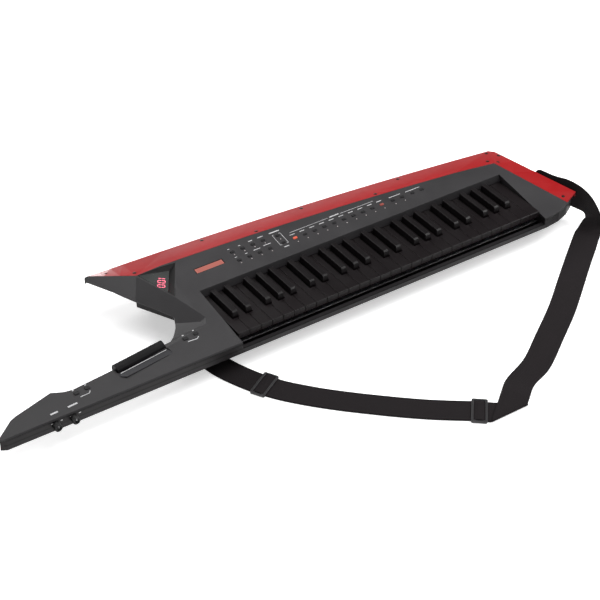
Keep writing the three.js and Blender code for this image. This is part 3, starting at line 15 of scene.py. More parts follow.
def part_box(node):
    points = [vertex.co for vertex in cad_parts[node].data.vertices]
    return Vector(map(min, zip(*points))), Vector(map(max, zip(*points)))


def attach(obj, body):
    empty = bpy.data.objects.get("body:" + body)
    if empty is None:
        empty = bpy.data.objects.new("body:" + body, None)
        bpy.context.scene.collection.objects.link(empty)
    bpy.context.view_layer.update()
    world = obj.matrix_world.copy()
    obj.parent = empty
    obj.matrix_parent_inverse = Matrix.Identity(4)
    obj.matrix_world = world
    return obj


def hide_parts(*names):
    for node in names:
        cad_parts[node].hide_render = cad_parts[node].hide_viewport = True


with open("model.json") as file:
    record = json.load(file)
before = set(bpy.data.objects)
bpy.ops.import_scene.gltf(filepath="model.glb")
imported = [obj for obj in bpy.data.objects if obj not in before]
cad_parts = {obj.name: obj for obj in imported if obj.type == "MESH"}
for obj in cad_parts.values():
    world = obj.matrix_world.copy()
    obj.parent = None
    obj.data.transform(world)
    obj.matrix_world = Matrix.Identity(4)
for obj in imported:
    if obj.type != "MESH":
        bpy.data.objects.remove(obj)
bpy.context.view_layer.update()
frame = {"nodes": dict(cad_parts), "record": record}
MM = 0.001
KEY_INSET = 0.45
key_low, key_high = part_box("white_key_01")
corner = Vector((key_low.x - KEY_INSET * MM, key_low.y, key_high.z))


def at(x, y, z):
    """A place in millimetres from the first key's left front corner, as a point of the frame."""
    return corner + Vector((x, y, z)) * MM


print("left front corner of the first key:", [round(value, 4) for value in corner])

# %% [markdown]
# ## Camera
# The photograph looks down from the player's side at about 37 degrees, along a line turned 35 degrees to the keys.
# The place and the lens could be tried by hand, but the key fronts and the button rows are regular grids, so a
# camera was solved from them. A long lens keeps the far end from shrinking.

# %% Camera
CAMERA_ANGLES = (52.5443, -0.8493, -34.3655)
camera = bpy.data.objects.new("camera", bpy.data.cameras.new("camera"))
camera.data.lens = 106.2
camera.data.sensor_width = 36
camera.location = (-1.445803, -2.141188, 1.972654)
camera.rotation_euler = [math.radians(angle) for angle in CAMERA_ANGLES]
bpy.context.scene.collection.objects.link(camera)
bpy.context.scene.camera = camera
print("lens", camera.data.lens, "mm")

# %% [markdown]
# ## Strap
# The strap is flat webbing, 50 mm wide, so its shape is a middle line and, at each step, the way its width points.
# A curve with a flat section could follow the line, but not the fold, where the width lies along the crease. So a
# grid with one row for each step is laid on the route of the CAD solid, and modifiers round it and give it cloth
# thickness. Its UV map is in metres, so that the weave keeps its real size round every bend.

# %% The strap's route
# Each row: the middle (x, y, z) in millimetres and half of the width's direction.
STRAP_ROUTE = [
    (758.9, 107.5, -15.1, 0.1, 0.03, 0.49), (759.5, 105.6, -15.1, 0.16, 0.05, 0.78),
    (760.8, 100.8, -15.1, 0.2, 0.06, 0.98), (762.8, 94.1, -15.1, 0.2, 0.06, 0.98),
    (764.5, 88.3, -15.1, 0.2, 0.06, 0.98), (766.5, 80.6, -15.1, 0.2, 0.05, 0.98),
    (768.5, 72.9, -15.1, 0.2, 0.06, 0.98), (771.1, 65.3, -15.1, 0.19, 0.08, 0.98),
    (775.1, 57.6, -15, 0.16, 0.12, 0.98), (779.8, 50, -14.9, 0.17, 0.11, 0.98),
    (784, 42, -15, 0.2, 0.05, 0.98), (787.5, 32.8, -15.3, 0.18, 0.02, 0.98),
    (790.4, 23.3, -15.9, 0.13, -0.04, 0.99), (793, 14, -17, 0.1, -0.14, 0.99),
    (795.1, 6, -18.4, 0.03, -0.18, 0.98), (796.8, -1.8, -20.2, -0.02, -0.29, 0.96),
    (798, -9, -23, -0.05, -0.46, 0.89), (798.8, -15.7, -27.3, -0.08, -0.61, 0.79),
    (799, -21.8, -32.6, -0.09, -0.69, 0.72), (798, -27, -38, -0.03, -0.75, 0.67),
    (795.7, -30.5, -43.2, 0.03, -0.89, 0.46), (792.3, -33.2, -48.5, 0.15, -0.92, 0.35),
    (788, -36, -53, 0.33, -0.88, 0.34), (781.8, -39.9, -56.5, 0.4, -0.88, 0.25),
    (774.4, -43.9, -59.1, 0.43, -0.89, 0.15), (767, -48, -61.7, 0.48, -0.88, 0.04),
    (741, -68, -63.2, 0.6, -0.8, 0), (716.4, -86.6, -63.2, 0.6, -0.8, 0),
    (691, -106, -63.2, 0.61, -0.79, 0), (658.6, -131.3, -63.2, 0.62, -0.79, 0),
    (626, -157, -63.2, 0.62, -0.79, 0), (599.4, -178.1, -63.2, 0.62, -0.78, 0),
    (572, -199, -63.2, 0.59, -0.81, 0), (533.2, -225.5, -63.2, 0.55, -0.83, 0),
    (493, -252, -63.2, 0.56, -0.83, 0), (457.6, -277.3, -63.2, 0.58, -0.81, 0),
    (424, -298, -63.2, 0.42, -0.91, 0), (378.9, -310.8, -63.2, 0.64, -0.77, 0),
    (357.3, -328.6, -59.6, 0.64, -0.77, 0), (335.7, -346.4, -59.6, 0.64, -0.77, 0),
    (309.5, -366.2, -59.6, 1.57, 0, 0), (309.5, -367.5, -60.1, 1.57, 0, 0),
    (309.5, -368, -61.4, 1.57, 0, 0), (309.5, -367.5, -62.7, 1.57, 0, 0),
    (309.5, -366.2, -63.2, 1.57, 0, 0), (284.8, -347.6, -63.2, 0.64, 0.77, 0),
    (281.1, -344.5, -63.2, 0.64, 0.77, 0), (276.4, -340.7, -63.2, 0.64, 0.77, 0),
    (271.8, -336.9, -60.6, 0.64, 0.77, 0), (267.2, -333.1, -60.6, 0.64, 0.77, 0),
    (262.6, -329.3, -63.2, 0.64, 0.77, 0), (257.9, -325.5, -63.2, 0.64, 0.77, 0),
    (225, -302, -63.2, 0.61, 0.79, 0), (208.1, -289.3, -63.2, 0.6, 0.8, 0),
    (190, -275, -63.2, 0.64, 0.77, 0), (156.8, -246.3, -63.2, 0.67, 0.75, 0),
    (122, -214.5, -63.2, 0.68, 0.73, 0), (92.5, -186.4, -63.2, 0.7, 0.72, 0),
    (65, -158.5, -63.2, 0.73, 0.68, 0), (43, -133.2, -63.2, 0.77, 0.64, 0),
    (22, -108, -63.2, 0.76, 0.65, 0), (10.5, -90, -63.2, 0.87, 0.5, 0),
    (7.5, -84.8, -63.2, 0.87, 0.5, 0), (4.5, -79.6, -60.6, 0.87, 0.5, 0),
    (1.5, -74.4, -60.6, 0.87, 0.5, 0), (-1.5, -69.2, -63.2, 0.87, 0.5, 0),
    (-4.5, -64, -63.2, 0.87, 0.5, 0), (-12, -49, -63.2, 0.93, 0.38, 0),
    (-19.9, -30.6, -63.2, 0.92, 0.39, 0), (-27, -12, -63.2, 0.95, 0.31, 0),
    (-32.5, 6.3, -63.2, 0.97, 0.25, 0), (-36, 25, -63.2, 0.99, 0.1, 0),
    (-36.3, 45.4, -63.2, 1, -0.06, 0), (-34, 66, -63.2, 0.99, -0.16, 0),
    (-28.8, 87, -63.2, 0.95, -0.3, 0), (-22, 108, -63.2, 0.95, -0.3, 0),
    (-14.8, 129, -63.2, 0.94, -0.33, 0), (-8, 150, -63.2, 0.96, -0.26, 0),
    (-2.9, 171.1, -63.2, 0.98, -0.21, 0), (1, 192, -63.2, 0.99, -0.16, 0),
    (3.3, 210.9, -63.2, 1, -0.09, 0), (5.1, 229.6, -63.2, 0.99, -0.11, 0),
    (5.1, 237.6, -63.2, 1, -0.04, 0), (5.4, 245.2, -61.7, 1, -0.04, 0),
    (5.7, 251.7, -57.3, 1, -0.04, 0), (5.9, 256, -50.9, 1, -0.04, 0), (5.9, 257.5, -43.2, 1, -0.04, 0),
    (5.9, 257.5, -34, 1, -0.04, 0), (5.9, 257.5, -21, 1, -0.04, 0), (5.9, 257.5, -16, 0.9, -0.04, 0),
    (5.9, 257.5, -12.5, 0.6, -0.03, 0),
]
STRAP_WIDTH = 50
STRAP_THICKNESS = 2.1


# %% Turning a bmesh into a piece
def piece(name, work, sharp=35):
    """Makes a finished bmesh an object at the origin, smooth but for edges over an angle in degrees."""
    mesh = bpy.data.meshes.new(name)
    work.to_mesh(mesh)
    work.free()
    mesh.shade_smooth()
    mesh.set_sharp_from_angle(angle=math.radians(sharp))
    made = bpy.data.objects.new(name, mesh)
    bpy.context.scene.collection.objects.link(made)
    return made


def solidify(target, thickness):
    """Gives a sheet its wall, half of it on each side."""
    wall = target.modifiers.new("wall", "SOLIDIFY")
    wall.thickness = thickness
    wall.offset = 0


def subdivide(target, levels):
    """Rounds a mesh, as finely in the view as in the render."""
    rounding = target.modifiers.new("rounding", "SUBSURF")
    rounding.levels = rounding.render_levels = levels


# %% Lay a grid on the route
STRAP_CELLS = 6


def webbing(name, route):
    """A grid with one row for each step of a route, and a UV map in metres."""
    rows = len(route) - 1
    work = bmesh.new()
    bmesh.ops.create_grid(work, x_segments=STRAP_CELLS, y_segments=rows, size=1)
    uv = work.loops.layers.uv.new("UVMap")
    middles = [at(*step[:3]) for step in route]
    lengths = [0]
    for before, after in zip(middles, middles[1:]):
        lengths.append(lengths[-1] + (after - before).length)
    for face in work.faces:
        for loop in face.loops:
            row = round((loop.vert.co.y + 1) / 2 * rows)
            loop[uv].uv = ((loop.vert.co.x + 1) / 2 * STRAP_WIDTH * MM, lengths[row])
    for vert in work.verts:
        row = round((vert.co.y + 1) / 2 * rows)
        half = Vector(route[row][3:]) * STRAP_WIDTH / 2 * MM
        vert.co = middles[row] + half * vert.co.x
    return piece(name, work, sharp=80)


strap = webbing("strap_webbing", STRAP_ROUTE)
subdivide(strap, levels=2)
solidify(strap, STRAP_THICKNESS * MM)
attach(strap, "case")
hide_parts("shoulder_strap")
print("strap faces", len(strap.data.polygons))

# %% [markdown]
# ## Strap sliders
# Two plastic sliders set the strap's length: the webbing goes under one outer bar, over the middle bar and under
# the other. They could be booleans of boxes, but a grid with two cells taken out is already the frame. Extruded,
# its middle bar is let down and its outer bars stay up, so that the webbing passes between them.

# %% Sizes of a slider
# The lines of its grid across and along, its underside, its top and the thickness of a bar, in millimetres.
SLIDER_COLUMNS = [-29.5, -27.2, -25.4, 25.4, 27.2, 29.5]
SLIDER_ROWS = [-14, -10, -2, 2, 10, 14]
SLIDER_LOW, SLIDER_HIGH, SLIDER_BAR = 0.1, 5.0, 2.2
# Bars end before this place across, the middle bar before this place along, and the corners are past these two.
BARS_END, MIDDLE_BAR_END = 26, 5
CORNERS_ACROSS, CORNERS_ALONG = 29, 13
SLIDER_CORNER, SLIDER_EDGE = 4.5, 0.6
FLOOR = -64.5
print("slider size", SLIDER_COLUMNS[-1] * 2, "by", SLIDER_ROWS[-1] * 2, "mm")


# %% The frame of a slider
def soften(target, width, angle=40, segments=2):
    """Rounds the edges that are sharper than an angle in degrees."""
    bevel = target.modifiers.new("soft edges", "BEVEL")
    bevel.width = width
    bevel.segments = segments
    bevel.limit_method = "ANGLE"
    bevel.angle_limit = math.radians(angle)


def is_window(face):
    """Whether a cell of the grid is one of the two that the webbing passes through."""
    centre = face.calc_center_median()
    return abs(centre.x) < SLIDER_COLUMNS[3] and SLIDER_ROWS[3] < abs(centre.y) < SLIDER_ROWS[4]


def is_post(edge):
    """Whether an edge stands upright at one of the four corners."""
    low, high = sorted(vert.co.z for vert in edge.verts)
    at_corner = all(abs(vert.co.x) > CORNERS_ACROSS and abs(vert.co.y) > CORNERS_ALONG for vert in edge.verts)
    return at_corner and high - low > 1


def slider(name, middle, heading):
    """A slider with its long side across the strap, which runs along heading."""
    cells = len(SLIDER_ROWS) - 1
    work = bmesh.new()
    bmesh.ops.create_grid(work, x_segments=cells, y_segments=cells, size=0.5)
    for vert in work.verts:
        vert.co.x = SLIDER_COLUMNS[round((vert.co.x + 0.5) * cells)]
        vert.co.y = SLIDER_ROWS[round((vert.co.y + 0.5) * cells)]
        vert.co.z = SLIDER_LOW
    bmesh.ops.delete(work, geom=[face for face in work.faces if is_window(face)], context="FACES")
    grown = bmesh.ops.extrude_face_region(work, geom=work.faces[:])["geom"]
    for vert in [item for item in grown if isinstance(item, bmesh.types.BMVert)]:
        vert.co.z = SLIDER_HIGH
    for vert in work.verts:
        if abs(vert.co.x) < BARS_END:
            is_top = vert.co.z > (SLIDER_LOW + SLIDER_HIGH) / 2
            if abs(vert.co.y) < MIDDLE_BAR_END and is_top:
                vert.co.z = SLIDER_LOW + SLIDER_BAR
            elif abs(vert.co.y) > MIDDLE_BAR_END and not is_top:
                vert.co.z = SLIDER_HIGH - SLIDER_BAR
    posts = [edge for edge in work.edges if is_post(edge)]
    bmesh.ops.bevel(work, geom=posts, offset=SLIDER_CORNER, segments=4, affect="EDGES", profile=0.5, material=-1)
    bmesh.ops.recalc_face_normals(work, faces=work.faces[:])
    turn = Matrix.Rotation(math.atan2(heading[1], heading[0]) - math.pi / 2, 4, "Z")
    place = Matrix.Translation(at(*middle, FLOOR)) @ turn @ Matrix.Scale(MM, 4)
    bmesh.ops.transform(work, matrix=place, verts=work.verts[:])
    made = piece(name, work)
    soften(made, SLIDER_EDGE * MM, angle=30, segments=3)
    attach(made, "case")
    return made


slider_near = slider("strap_slider_near", middle=(3, -77), heading=(-0.5, 0.866))
slider_far = slider("strap_slider_far", middle=(269.5, -335), heading=(-0.7716, 0.6361))
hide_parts("strap_slider_1")
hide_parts("strap_slider_2")
print("slider faces", len(slider_near.data.polygons))

# %% [markdown]
# ## Finishes
# A finish is a material of nodes. Nodes could be placed one by one, but then a simple product takes three lines.
# So a socket is wrapped in a small class: adding or multiplying two of them adds the Math node. All patterns run on
# Object coordinates, which for this frame are real metres, so a grain of 0.4 mm is a size of 0.0004.


# %% A socket that takes part in sums
class Socket:
    """The output of a node; Python's operators add Math nodes behind it."""

    def __init__(self, finish, output):
        self.finish = finish
        self.output = output

    def __add__(self, other):
        return self.finish.math("ADD", self, other)

    def __sub__(self, other):
        return self.finish.math("SUBTRACT", self, other)

    def __rsub__(self, other):
        return self.finish.math("SUBTRACT", other, self)

    def __mul__(self, other):
        return self.finish.math("MULTIPLY", self, other)

    def __gt__(self, other):
        return self.finish.math("GREATER_THAN", self, other)

    def __lt__(self, other):
        return self.finish.math("LESS_THAN", self, other)

    __radd__ = __add__
    __rmul__ = __mul__


# %% A finish
class Finish:
    """A material: its shader's fixed values, and what its nodes feed into them."""

    def __init__(self, name, **fixed):
        self.material = bpy.data.materials.new(name)
        self.material.use_nodes = True
        self.tree = self.material.node_tree
        self.shader = self.tree.nodes["Principled BSDF"]
        self.feed(**fixed)

    def feed(self, **values):
        """Sets or links sockets of the shader, named with underscores for spaces."""
        names = {socket.name.lower().replace(" ", "_"): socket for socket in self.shader.inputs}
        for name, value in values.items():
            self.join(names[name], value)
        return self

    def join(self, socket, value):
        """Gives a socket a value or a link."""
        if isinstance(value, Socket):
            self.tree.links.new(value.output, socket)
        elif socket.type == "RGBA" and len(value) == 3:
            socket.default_value = (*value, 1)
        else:
            socket.default_value = value

    def node(self, kind, settings=None, values=None, output=0):
        """Adds a node: its settings first, then the values or links of its sockets."""
        made = self.tree.nodes.new("ShaderNode" + kind)
        for name, value in (settings or {}).items():
            setattr(made, name, value)
        for name, value in (values or {}).items():
            self.join(made.inputs[name], value)
        return Socket(self, made.outputs[output])

    def math(self, operation, first, second=0.0):
        """A Math node on one or two values."""
        return self.node("Math", {"operation": operation}, {0: first, 1: second})

    def mix(self, factor, first, second):
        """One colour where the factor is 0, the other where it is 1."""
        return self.node("Mix", {"data_type": "RGBA"}, {0: factor, 6: first, 7: second}, 2)

    def between(self, value, low, high, start=0.0, end=1.0):
        """Goes smoothly from start to end while the value goes from low to high."""
        limits = {"Value": value, "From Min": low, "From Max": high, "To Min": start, "To Max": end}
        return self.node("MapRange", {"interpolation_type": "SMOOTHSTEP"}, limits)


# %% Spots and places
NOISE_LOW, NOISE_HIGH = 0.3, 0.7


def noise(finish, size, detail=2, stretch=(1, 1, 1)):
    """Soft random spots of a size in metres, drawn out along the axes by stretch."""
    place = finish.node("TexCoord", output="Object")
    scaled = finish.node("Mapping", values={"Vector": place, "Scale": [1 / part for part in stretch]})
    return finish.node("TexNoise", values={"Vector": scaled, "Scale": 1 / size, "Detail": detail})


def spots(finish, size, start=0.0, end=1.0, detail=2):
    """Goes from start in the low places of a noise to end in its high ones."""
    return finish.between(noise(finish, size, detail), NOISE_LOW, NOISE_HIGH, start, end)


def uneven(finish, size, darker, lighter, detail=2):
    """A colour that wanders between two neighbours in spots."""
    return finish.mix(spots(finish, size, detail=detail), darker, lighter)


def places(finish):
    """The three parts of a place on the keyboard, in millimetres from the first key's corner."""
    place = finish.node("TexCoord", output="Object")
    moved = finish.node("VectorMath", {"operation": "SUBTRACT"}, {0: place, 1: tuple(corner)})
    scaled = finish.node("VectorMath", {"operation": "SCALE"}, {0: moved, "Scale": 1 / MM})
    return [finish.node("SeparateXYZ", values={0: scaled}, output=axis) for axis in "XYZ"]


# %% Edges, relief and masks
# How wide and how strong the paler edges are; they are partly wear and partly a painted highlight.
EDGE_WEAR_AND_HIGHLIGHT_WIDTH, EDGE_WEAR_AND_HIGHLIGHT_SHARE = 0.0006, 0.6


def rounded(finish, width):
    """The normal of the surface as if its edges were rounded."""
    return finish.node("Bevel", {"samples": 6}, {"Radius": width}, "Normal")


def worn_and_highlit_edges(finish):
    """Up to a set share along the outer and inner edges, 0 away from them: where edges are painted paler, as wear and
    as a painted highlight.
    """
    flat = finish.node("NewGeometry", output="Normal")
    both = {0: rounded(finish, EDGE_WEAR_AND_HIGHLIGHT_WIDTH), 1: flat}
    alike = finish.node("VectorMath", {"operation": "DOT_PRODUCT"}, both, "Value")
    return finish.between(1 - alike, 0.03, 0.25) * EDGE_WEAR_AND_HIGHLIGHT_SHARE


def relief(finish, height, depth, edge=0.0005):
    """A bump of a depth in metres, over edges that catch the light."""
    values = {"Height": height, "Distance": depth, "Normal": rounded(finish, edge)}
    return finish.node("Bump", values=values)


def inside(x, y, corners):
    """1 within a shape whose corners run anticlockwise, 0 outside it."""
    mask = 1
    for (x1, y1), (x2, y2) in zip(corners, corners[1:] + corners[:1]):
        side = (y - y1) * (x2 - x1) - (x - x1) * (y2 - y1)
        mask = (side > 0) * mask
    return mask


def near(value, middle, reach):
    """1 within a reach of a middle, 0 beyond it."""
    return (value > middle - reach) * (value < middle + reach)


# %% [markdown]
# ## Moulded plastic
# The shell, its underside, the keys and the sliders are one family: black ABS with a fine moulded grain. A flat
# black would look like a hole in the picture. The grain is a bump of a few hundredths of a millimetre, hands leave
# patches that are a little smoother, and the edges, which a Bevel node finds, are painted paler: partly wear and
# partly a painted highlight.

# %% Moulded plastic
NEAR_BLACK = (0.004, 0.004, 0.004)
PATCH_SIZE, PATCH_SHARE, HAND_SIZE = 0.12, 0.2, 0.05


def mould(finish, colour, pale, roughness, grain, depth):
    """Grained plastic: its colour, a paler one for its edges as wear and painted highlight, its gloss, and the
    grain's size and depth.
    """
    body = finish.mix(spots(finish, PATCH_SIZE) * PATCH_SHARE, colour, NEAR_BLACK)
    handled = spots(finish, HAND_SIZE, roughness - 0.06, roughness + 0.05, detail=3)
    return finish.feed(base_color=finish.mix(worn_and_highlit_edges(finish), body, pale), roughness=handled,
                       normal=relief(finish, noise(finish, grain, detail=1), depth))


# %% Shell, with painted shade in the sunk rim of its window
# The rim is what lies under the panel's slope and within three corners; the seam runs round the case at one level.
# Both are painted dark, as painted shade in the recess and in the seam's groove.
WINDOW_RIM = [(-78.5, 213.5), (-46, 134), (0.5, 207)]
RIM_SLOPE, RIM_FRONT, RIM_BOTTOM = 0.1548, -5.4, -30
# The seam's level and how far its painted shade reaches; then a near black for painted shade in the seam and the sunk
# rim, which the underside's rubber feet use too.
SEAM, SEAM_SHADE_REACH = -11.3, (1, 1.7)
SHADE_AND_FEET_BLACK = (0.0015, 0.0012, 0.0013)


def groove_shade(finish, z, level, reach):
    """1 in a line round the case at a level, fading to 0 between two distances from it: where a groove's shade is
    painted.
    """
    return finish.between(finish.math("ABSOLUTE", z - level), *reach, 1, 0)


shell = Finish("shell_plastic", specular_ior_level=0.3)
x, y, z = places(shell)
# The sunk rim of the window and the seam are painted darker, as painted shade.
sunk_rim_shade = (z < y * RIM_SLOPE + RIM_FRONT) * (z > RIM_BOTTOM) * inside(x, y, WINDOW_RIM)
dark = shell.math("MAXIMUM", sunk_rim_shade, groove_shade(shell, z, SEAM, SEAM_SHADE_REACH))
mould(shell, colour=shell.mix(dark, (0.0245, 0.023, 0.0247), SHADE_AND_FEET_BLACK), pale=(0.06, 0.057, 0.061),
      roughness=0.45, grain=0.0005, depth=0.00004)
print("shell nodes", len(shell.tree.nodes))

# %% Underside, with its rubber feet, and painted shade in its seam and in a line along its front
# The level of a dark line along the front face, how far its painted shade reaches, and the depth in front of which it
# is drawn.
BAND_LINE, BAND_SHADE_REACH, FRONT_FACE = -21, (0.9, 1.5), -14
FEET_TOP, FEET_SHARE = -57.2, 0.6
underside = Finish("underside_plastic", specular_ior_level=0.22)
x, y, z = places(underside)
# The seam and a line along the front face are painted dark as painted shade in their grooves; the rubber feet are
# dark by their own colour.
seam_shade = groove_shade(underside, z, SEAM, SEAM_SHADE_REACH)
line = groove_shade(underside, z, BAND_LINE, BAND_SHADE_REACH) * (y < FRONT_FACE)
dark = underside.math("MAXIMUM", underside.math("MAXIMUM", seam_shade, line), (z < FEET_TOP) * FEET_SHARE)
mould(underside, colour=underside.mix(dark, (0.012, 0.0105, 0.0115), SHADE_AND_FEET_BLACK), pale=(0.045, 0.042, 0.045),
      roughness=0.5, grain=0.0011, depth=0.00009)
print("underside nodes", len(underside.tree.nodes))

# %% Keys, sliders, the bar and the knobs
# Each row: the finish, its specular level, its colour, the paler one of its edges (wear and painted highlight), its
# roughness, and the size and depth of its grain.
PLASTICS = [
    ("natural_key_plastic", 0.16, (0.0072, 0.005, 0.0057), (0.07, 0.065, 0.066), 0.36, 0.0004, 0.00002),
    ("sharp_key_plastic", 0.18, (0.0055, 0.004, 0.0046), (0.045, 0.042, 0.043), 0.36, 0.0004, 0.00001),
    ("slider_plastic", 0.4, (0.018, 0.017, 0.018), (0.06, 0.06, 0.06), 0.4, 0.0006, 0.00005),
    ("bar_plastic", 0.08, (0.003, 0.0028, 0.0036), (0.05, 0.047, 0.05), 0.38, 0.0005, 0.00003),
    ("knob_plastic", 0.35, (0.0035, 0.003, 0.0035), (0.04, 0.038, 0.04), 0.4, 0.0004, 0.00004),
]
white_key, black_key, slider_plastic, bar_plastic, knob_plastic = [
    mould(Finish(name, specular_ior_level=level), *look) for name, level, *look in PLASTICS]
print("plain plastics", len(PLASTICS))

# %% Button rubber, lit in two places
TONE_COLUMNS, TONE_ROW = range(227, 426, 22), 160
BUTTON_REACH_ACROSS, BUTTON_REACH_DEEP = 8, 9
rubber = Finish("button_silicone", emission_strength=1.0, specular_ior_level=0.25)
x, y, z = places(rubber)
row = near(y, TONE_ROW, BUTTON_REACH_DEEP)
first = row * near(x, TONE_COLUMNS[0], BUTTON_REACH_ACROSS)
last = row * near(x, TONE_COLUMNS[-1], BUTTON_REACH_ACROSS)
mould(rubber, colour=rubber.mix(first + last, (0.006, 0.0055, 0.0065), (0.16, 0.04, 0.03)),
      pale=(0.07, 0.068, 0.07), roughness=0.55, grain=0.0004, depth=0.00003)
glow = rubber.mix(last, rubber.mix(first, (0, 0, 0), (0.62, 0.09, 0.04)), (0.16, 0.03, 0.025))
rubber.feed(emission_color=glow)
print("rubber nodes", len(rubber.tree.nodes))

# %% [markdown]
# ## Lacquer
# The bevelled cover is red plastic with a clear skin, so it has two layers: a coloured base that is a little rough,
# and a coat over it that mirrors the room. One glossy red would give hard highlights only. The coat is never quite
# flat, so a slow bump of some hundredths of a millimetre makes its reflections swim, as on any moulded lacquer. It
# shows most on the outer slope, so its weight rises from the inner edge to the outer one, along the cover's bow.

# %% Lacquer
# How the cover's bow falls with x and with its square, the depths of its two edges, and the coat's weight there.
BOW_FALL, BOW_CURL = 0.0343, 0.0000586
INNER_EDGE, OUTER_EDGE = 214, 258
COAT_INNER, COAT_OUTER = 0.05, 0.9
lacquer = Finish("red_lacquer", coat_roughness=0.15, coat_ior=1.5, specular_ior_level=0.17)
x, y, z = places(lacquer)
depth = y + x * BOW_FALL + x * x * BOW_CURL
outward = lacquer.between(depth, INNER_EDGE, OUTER_EDGE, COAT_INNER, COAT_OUTER)
red = uneven(lacquer, 0.08, (0.27, 0.0068, 0.0082), (0.3, 0.008, 0.0096))
# The cover's edges are painted a paler red, partly as wear and partly as a painted highlight.
lacquer.feed(base_color=lacquer.mix(worn_and_highlit_edges(lacquer), red, (0.5, 0.05, 0.055)),
             roughness=spots(lacquer, 0.03, 0.3, 0.4, detail=3), coat_weight=outward,
             normal=relief(lacquer, noise(lacquer, 0.004, detail=0), 0.00003, edge=0.0008))
print("lacquer nodes", len(lacquer.tree.nodes))

# %% [markdown]
# ## Lit and see-through parts
# The text screen glows orange under a clear film, with its empty character cells just visible. The triangular
# window is smoked, so it is mostly dark, yet the digits under it show. It could be made of glass that bends light,
# but a thin pane hardly does: an even alpha is enough and stays cheap.

# %% Text screen
# Each field: its left, front, right and back edge in millimetres. The gaps are shares of a character cell.
GLASS, LIT_FIELD = (19, 164.9, 76, 175.4), (21.5, 165.5, 73.5, 174.5)
CHARACTERS, LINES = 16, 2
CHARACTER_GAP, LINE_GAP, CELL_SHARE = 0.12, 0.14, 0.4


def field(x, y, left, front, right, back):
    """1 within a rectangle, 0 outside it."""
    return inside(x, y, [(left, front), (right, front), (right, back), (left, back)])


left, front, right, back = LIT_FIELD
screen = Finish("lit_screen", emission_strength=1.0, coat_weight=0.3, coat_roughness=0.05)
x, y, z = places(screen)
column = screen.math("FRACT", (x - left) * (CHARACTERS / (right - left)))
line = screen.math("FRACT", (y - front) * (LINES / (back - front)))
cell = (column > CHARACTER_GAP) * (line > LINE_GAP) * field(x, y, *LIT_FIELD)
lit = screen.mix(cell * CELL_SHARE, (0.44, 0.15, 0.125), (0.33, 0.085, 0.065))
on_glass = field(x, y, *GLASS)
screen.feed(base_color=screen.mix(on_glass, (0.02, 0.015, 0.015), (0.07, 0.02, 0.015)),
            emission_color=screen.mix(on_glass, (0.012, 0.004, 0.003), lit),
            roughness=spots(screen, 0.02, 0.12, 0.2))
print("screen nodes", len(screen.tree.nodes))

# %% Smoked pane and the number display under it
pane = Finish("smoked_pane", alpha=0.55, coat_weight=0.3, coat_roughness=0.05)
pane.feed(base_color=uneven(pane, 0.03, (0.06, 0.064, 0.063), (0.075, 0.08, 0.078)),
          roughness=spots(pane, 0.01, 0.08, 0.16, detail=3))
display_body = mould(Finish("display_body"), colour=(0.02, 0.008, 0.008), pale=(0.05, 0.02, 0.02),
                     roughness=0.35, grain=0.0005, depth=0.00001)
segment = Finish("segment_light", emission_strength=9.0)
segment.feed(base_color=uneven(segment, 0.002, (0.8, 0.2, 0.2), (0.9, 0.3, 0.3)),
             emission_color=uneven(segment, 0.004, (1, 0.13, 0.23), (1, 0.19, 0.3)))
print("pane and display finished")

# %% Touch film on the neck
film = Finish("touch_film", specular_ior_level=0.3)
film.feed(base_color=uneven(film, 0.03, (0.0125, 0.0123, 0.0155), (0.015, 0.0148, 0.018)),
          roughness=spots(film, 0.015, 0.42, 0.52, detail=3),
          normal=relief(film, noise(film, 0.0003, detail=0), 0.00001))
print("film nodes", len(film.tree.nodes))

# %% [markdown]
# ## Metal, board and cells
# These sit inside and show only through gaps or with the battery cover off, but a part that is reused may be opened.
# Brushed steel is a noise drawn out along the brush, and a board is green lacquer over copper tracks.

# %% Steel and screws
steel = Finish("brushed_steel", metallic=1.0)
brush = noise(steel, 0.0006, stretch=(60, 1, 1))
steel.feed(base_color=uneven(steel, 0.05, (0.5, 0.5, 0.52), (0.6, 0.61, 0.63), detail=3),
           roughness=steel.between(brush, NOISE_LOW, NOISE_HIGH, 0.25, 0.42),
           normal=relief(steel, brush, 0.00001))
dark_steel = Finish("black_screw_steel", metallic=0.8)
scuffed = dark_steel.between(noise(dark_steel, 0.002, detail=3), 0.4, 0.75)
dark_steel.feed(base_color=dark_steel.mix(scuffed, (0.006, 0.005, 0.005), (0.025, 0.022, 0.022)),
                roughness=dark_steel.between(scuffed, 0, 1, 0.35, 0.5), normal=rounded(dark_steel, 0.0003))
print("metals made")

# %% Board and cells
TRACKS_PER_MM, CELLS_PER_MM = 0.2, 0.0198
TRACK_START, CAP_START = 0.7, 0.78
board = Finish("circuit_board", coat_weight=0.3, coat_roughness=0.2)
x, y, z = places(board)
wander = board.between(noise(board, 0.02), 0.4, 0.6)
tracks = board.math("FRACT", x * TRACKS_PER_MM + wander) > TRACK_START
board.feed(base_color=board.mix(tracks, (0.012, 0.09, 0.04), (0.03, 0.17, 0.075)),
           roughness=spots(board, 0.01, 0.3, 0.45), normal=relief(board, tracks, 0.00004))
cells = Finish("battery_sleeve", coat_weight=0.3, coat_roughness=0.1)
x, y, z = places(cells)
band = cells.math("FRACT", x * CELLS_PER_MM) > CAP_START
cells.feed(base_color=cells.mix(band, (0.03, 0.05, 0.12), (0.4, 0.41, 0.43)),
           roughness=spots(cells, 0.01, 0.25, 0.35), normal=rounded(cells, 0.0004))
print("inner finishes made")

# %% [markdown]
# ## Webbing
# Strap webbing is a thick narrow weave with ribs along it, each rib a row of slanted stitches, and a firmer rolled
# selvedge down both sides. An image could hold that, but it would tile. Here the UV map is in metres: waves in its
# two directions make the rows and the slant, and the same waves give colour and bump.

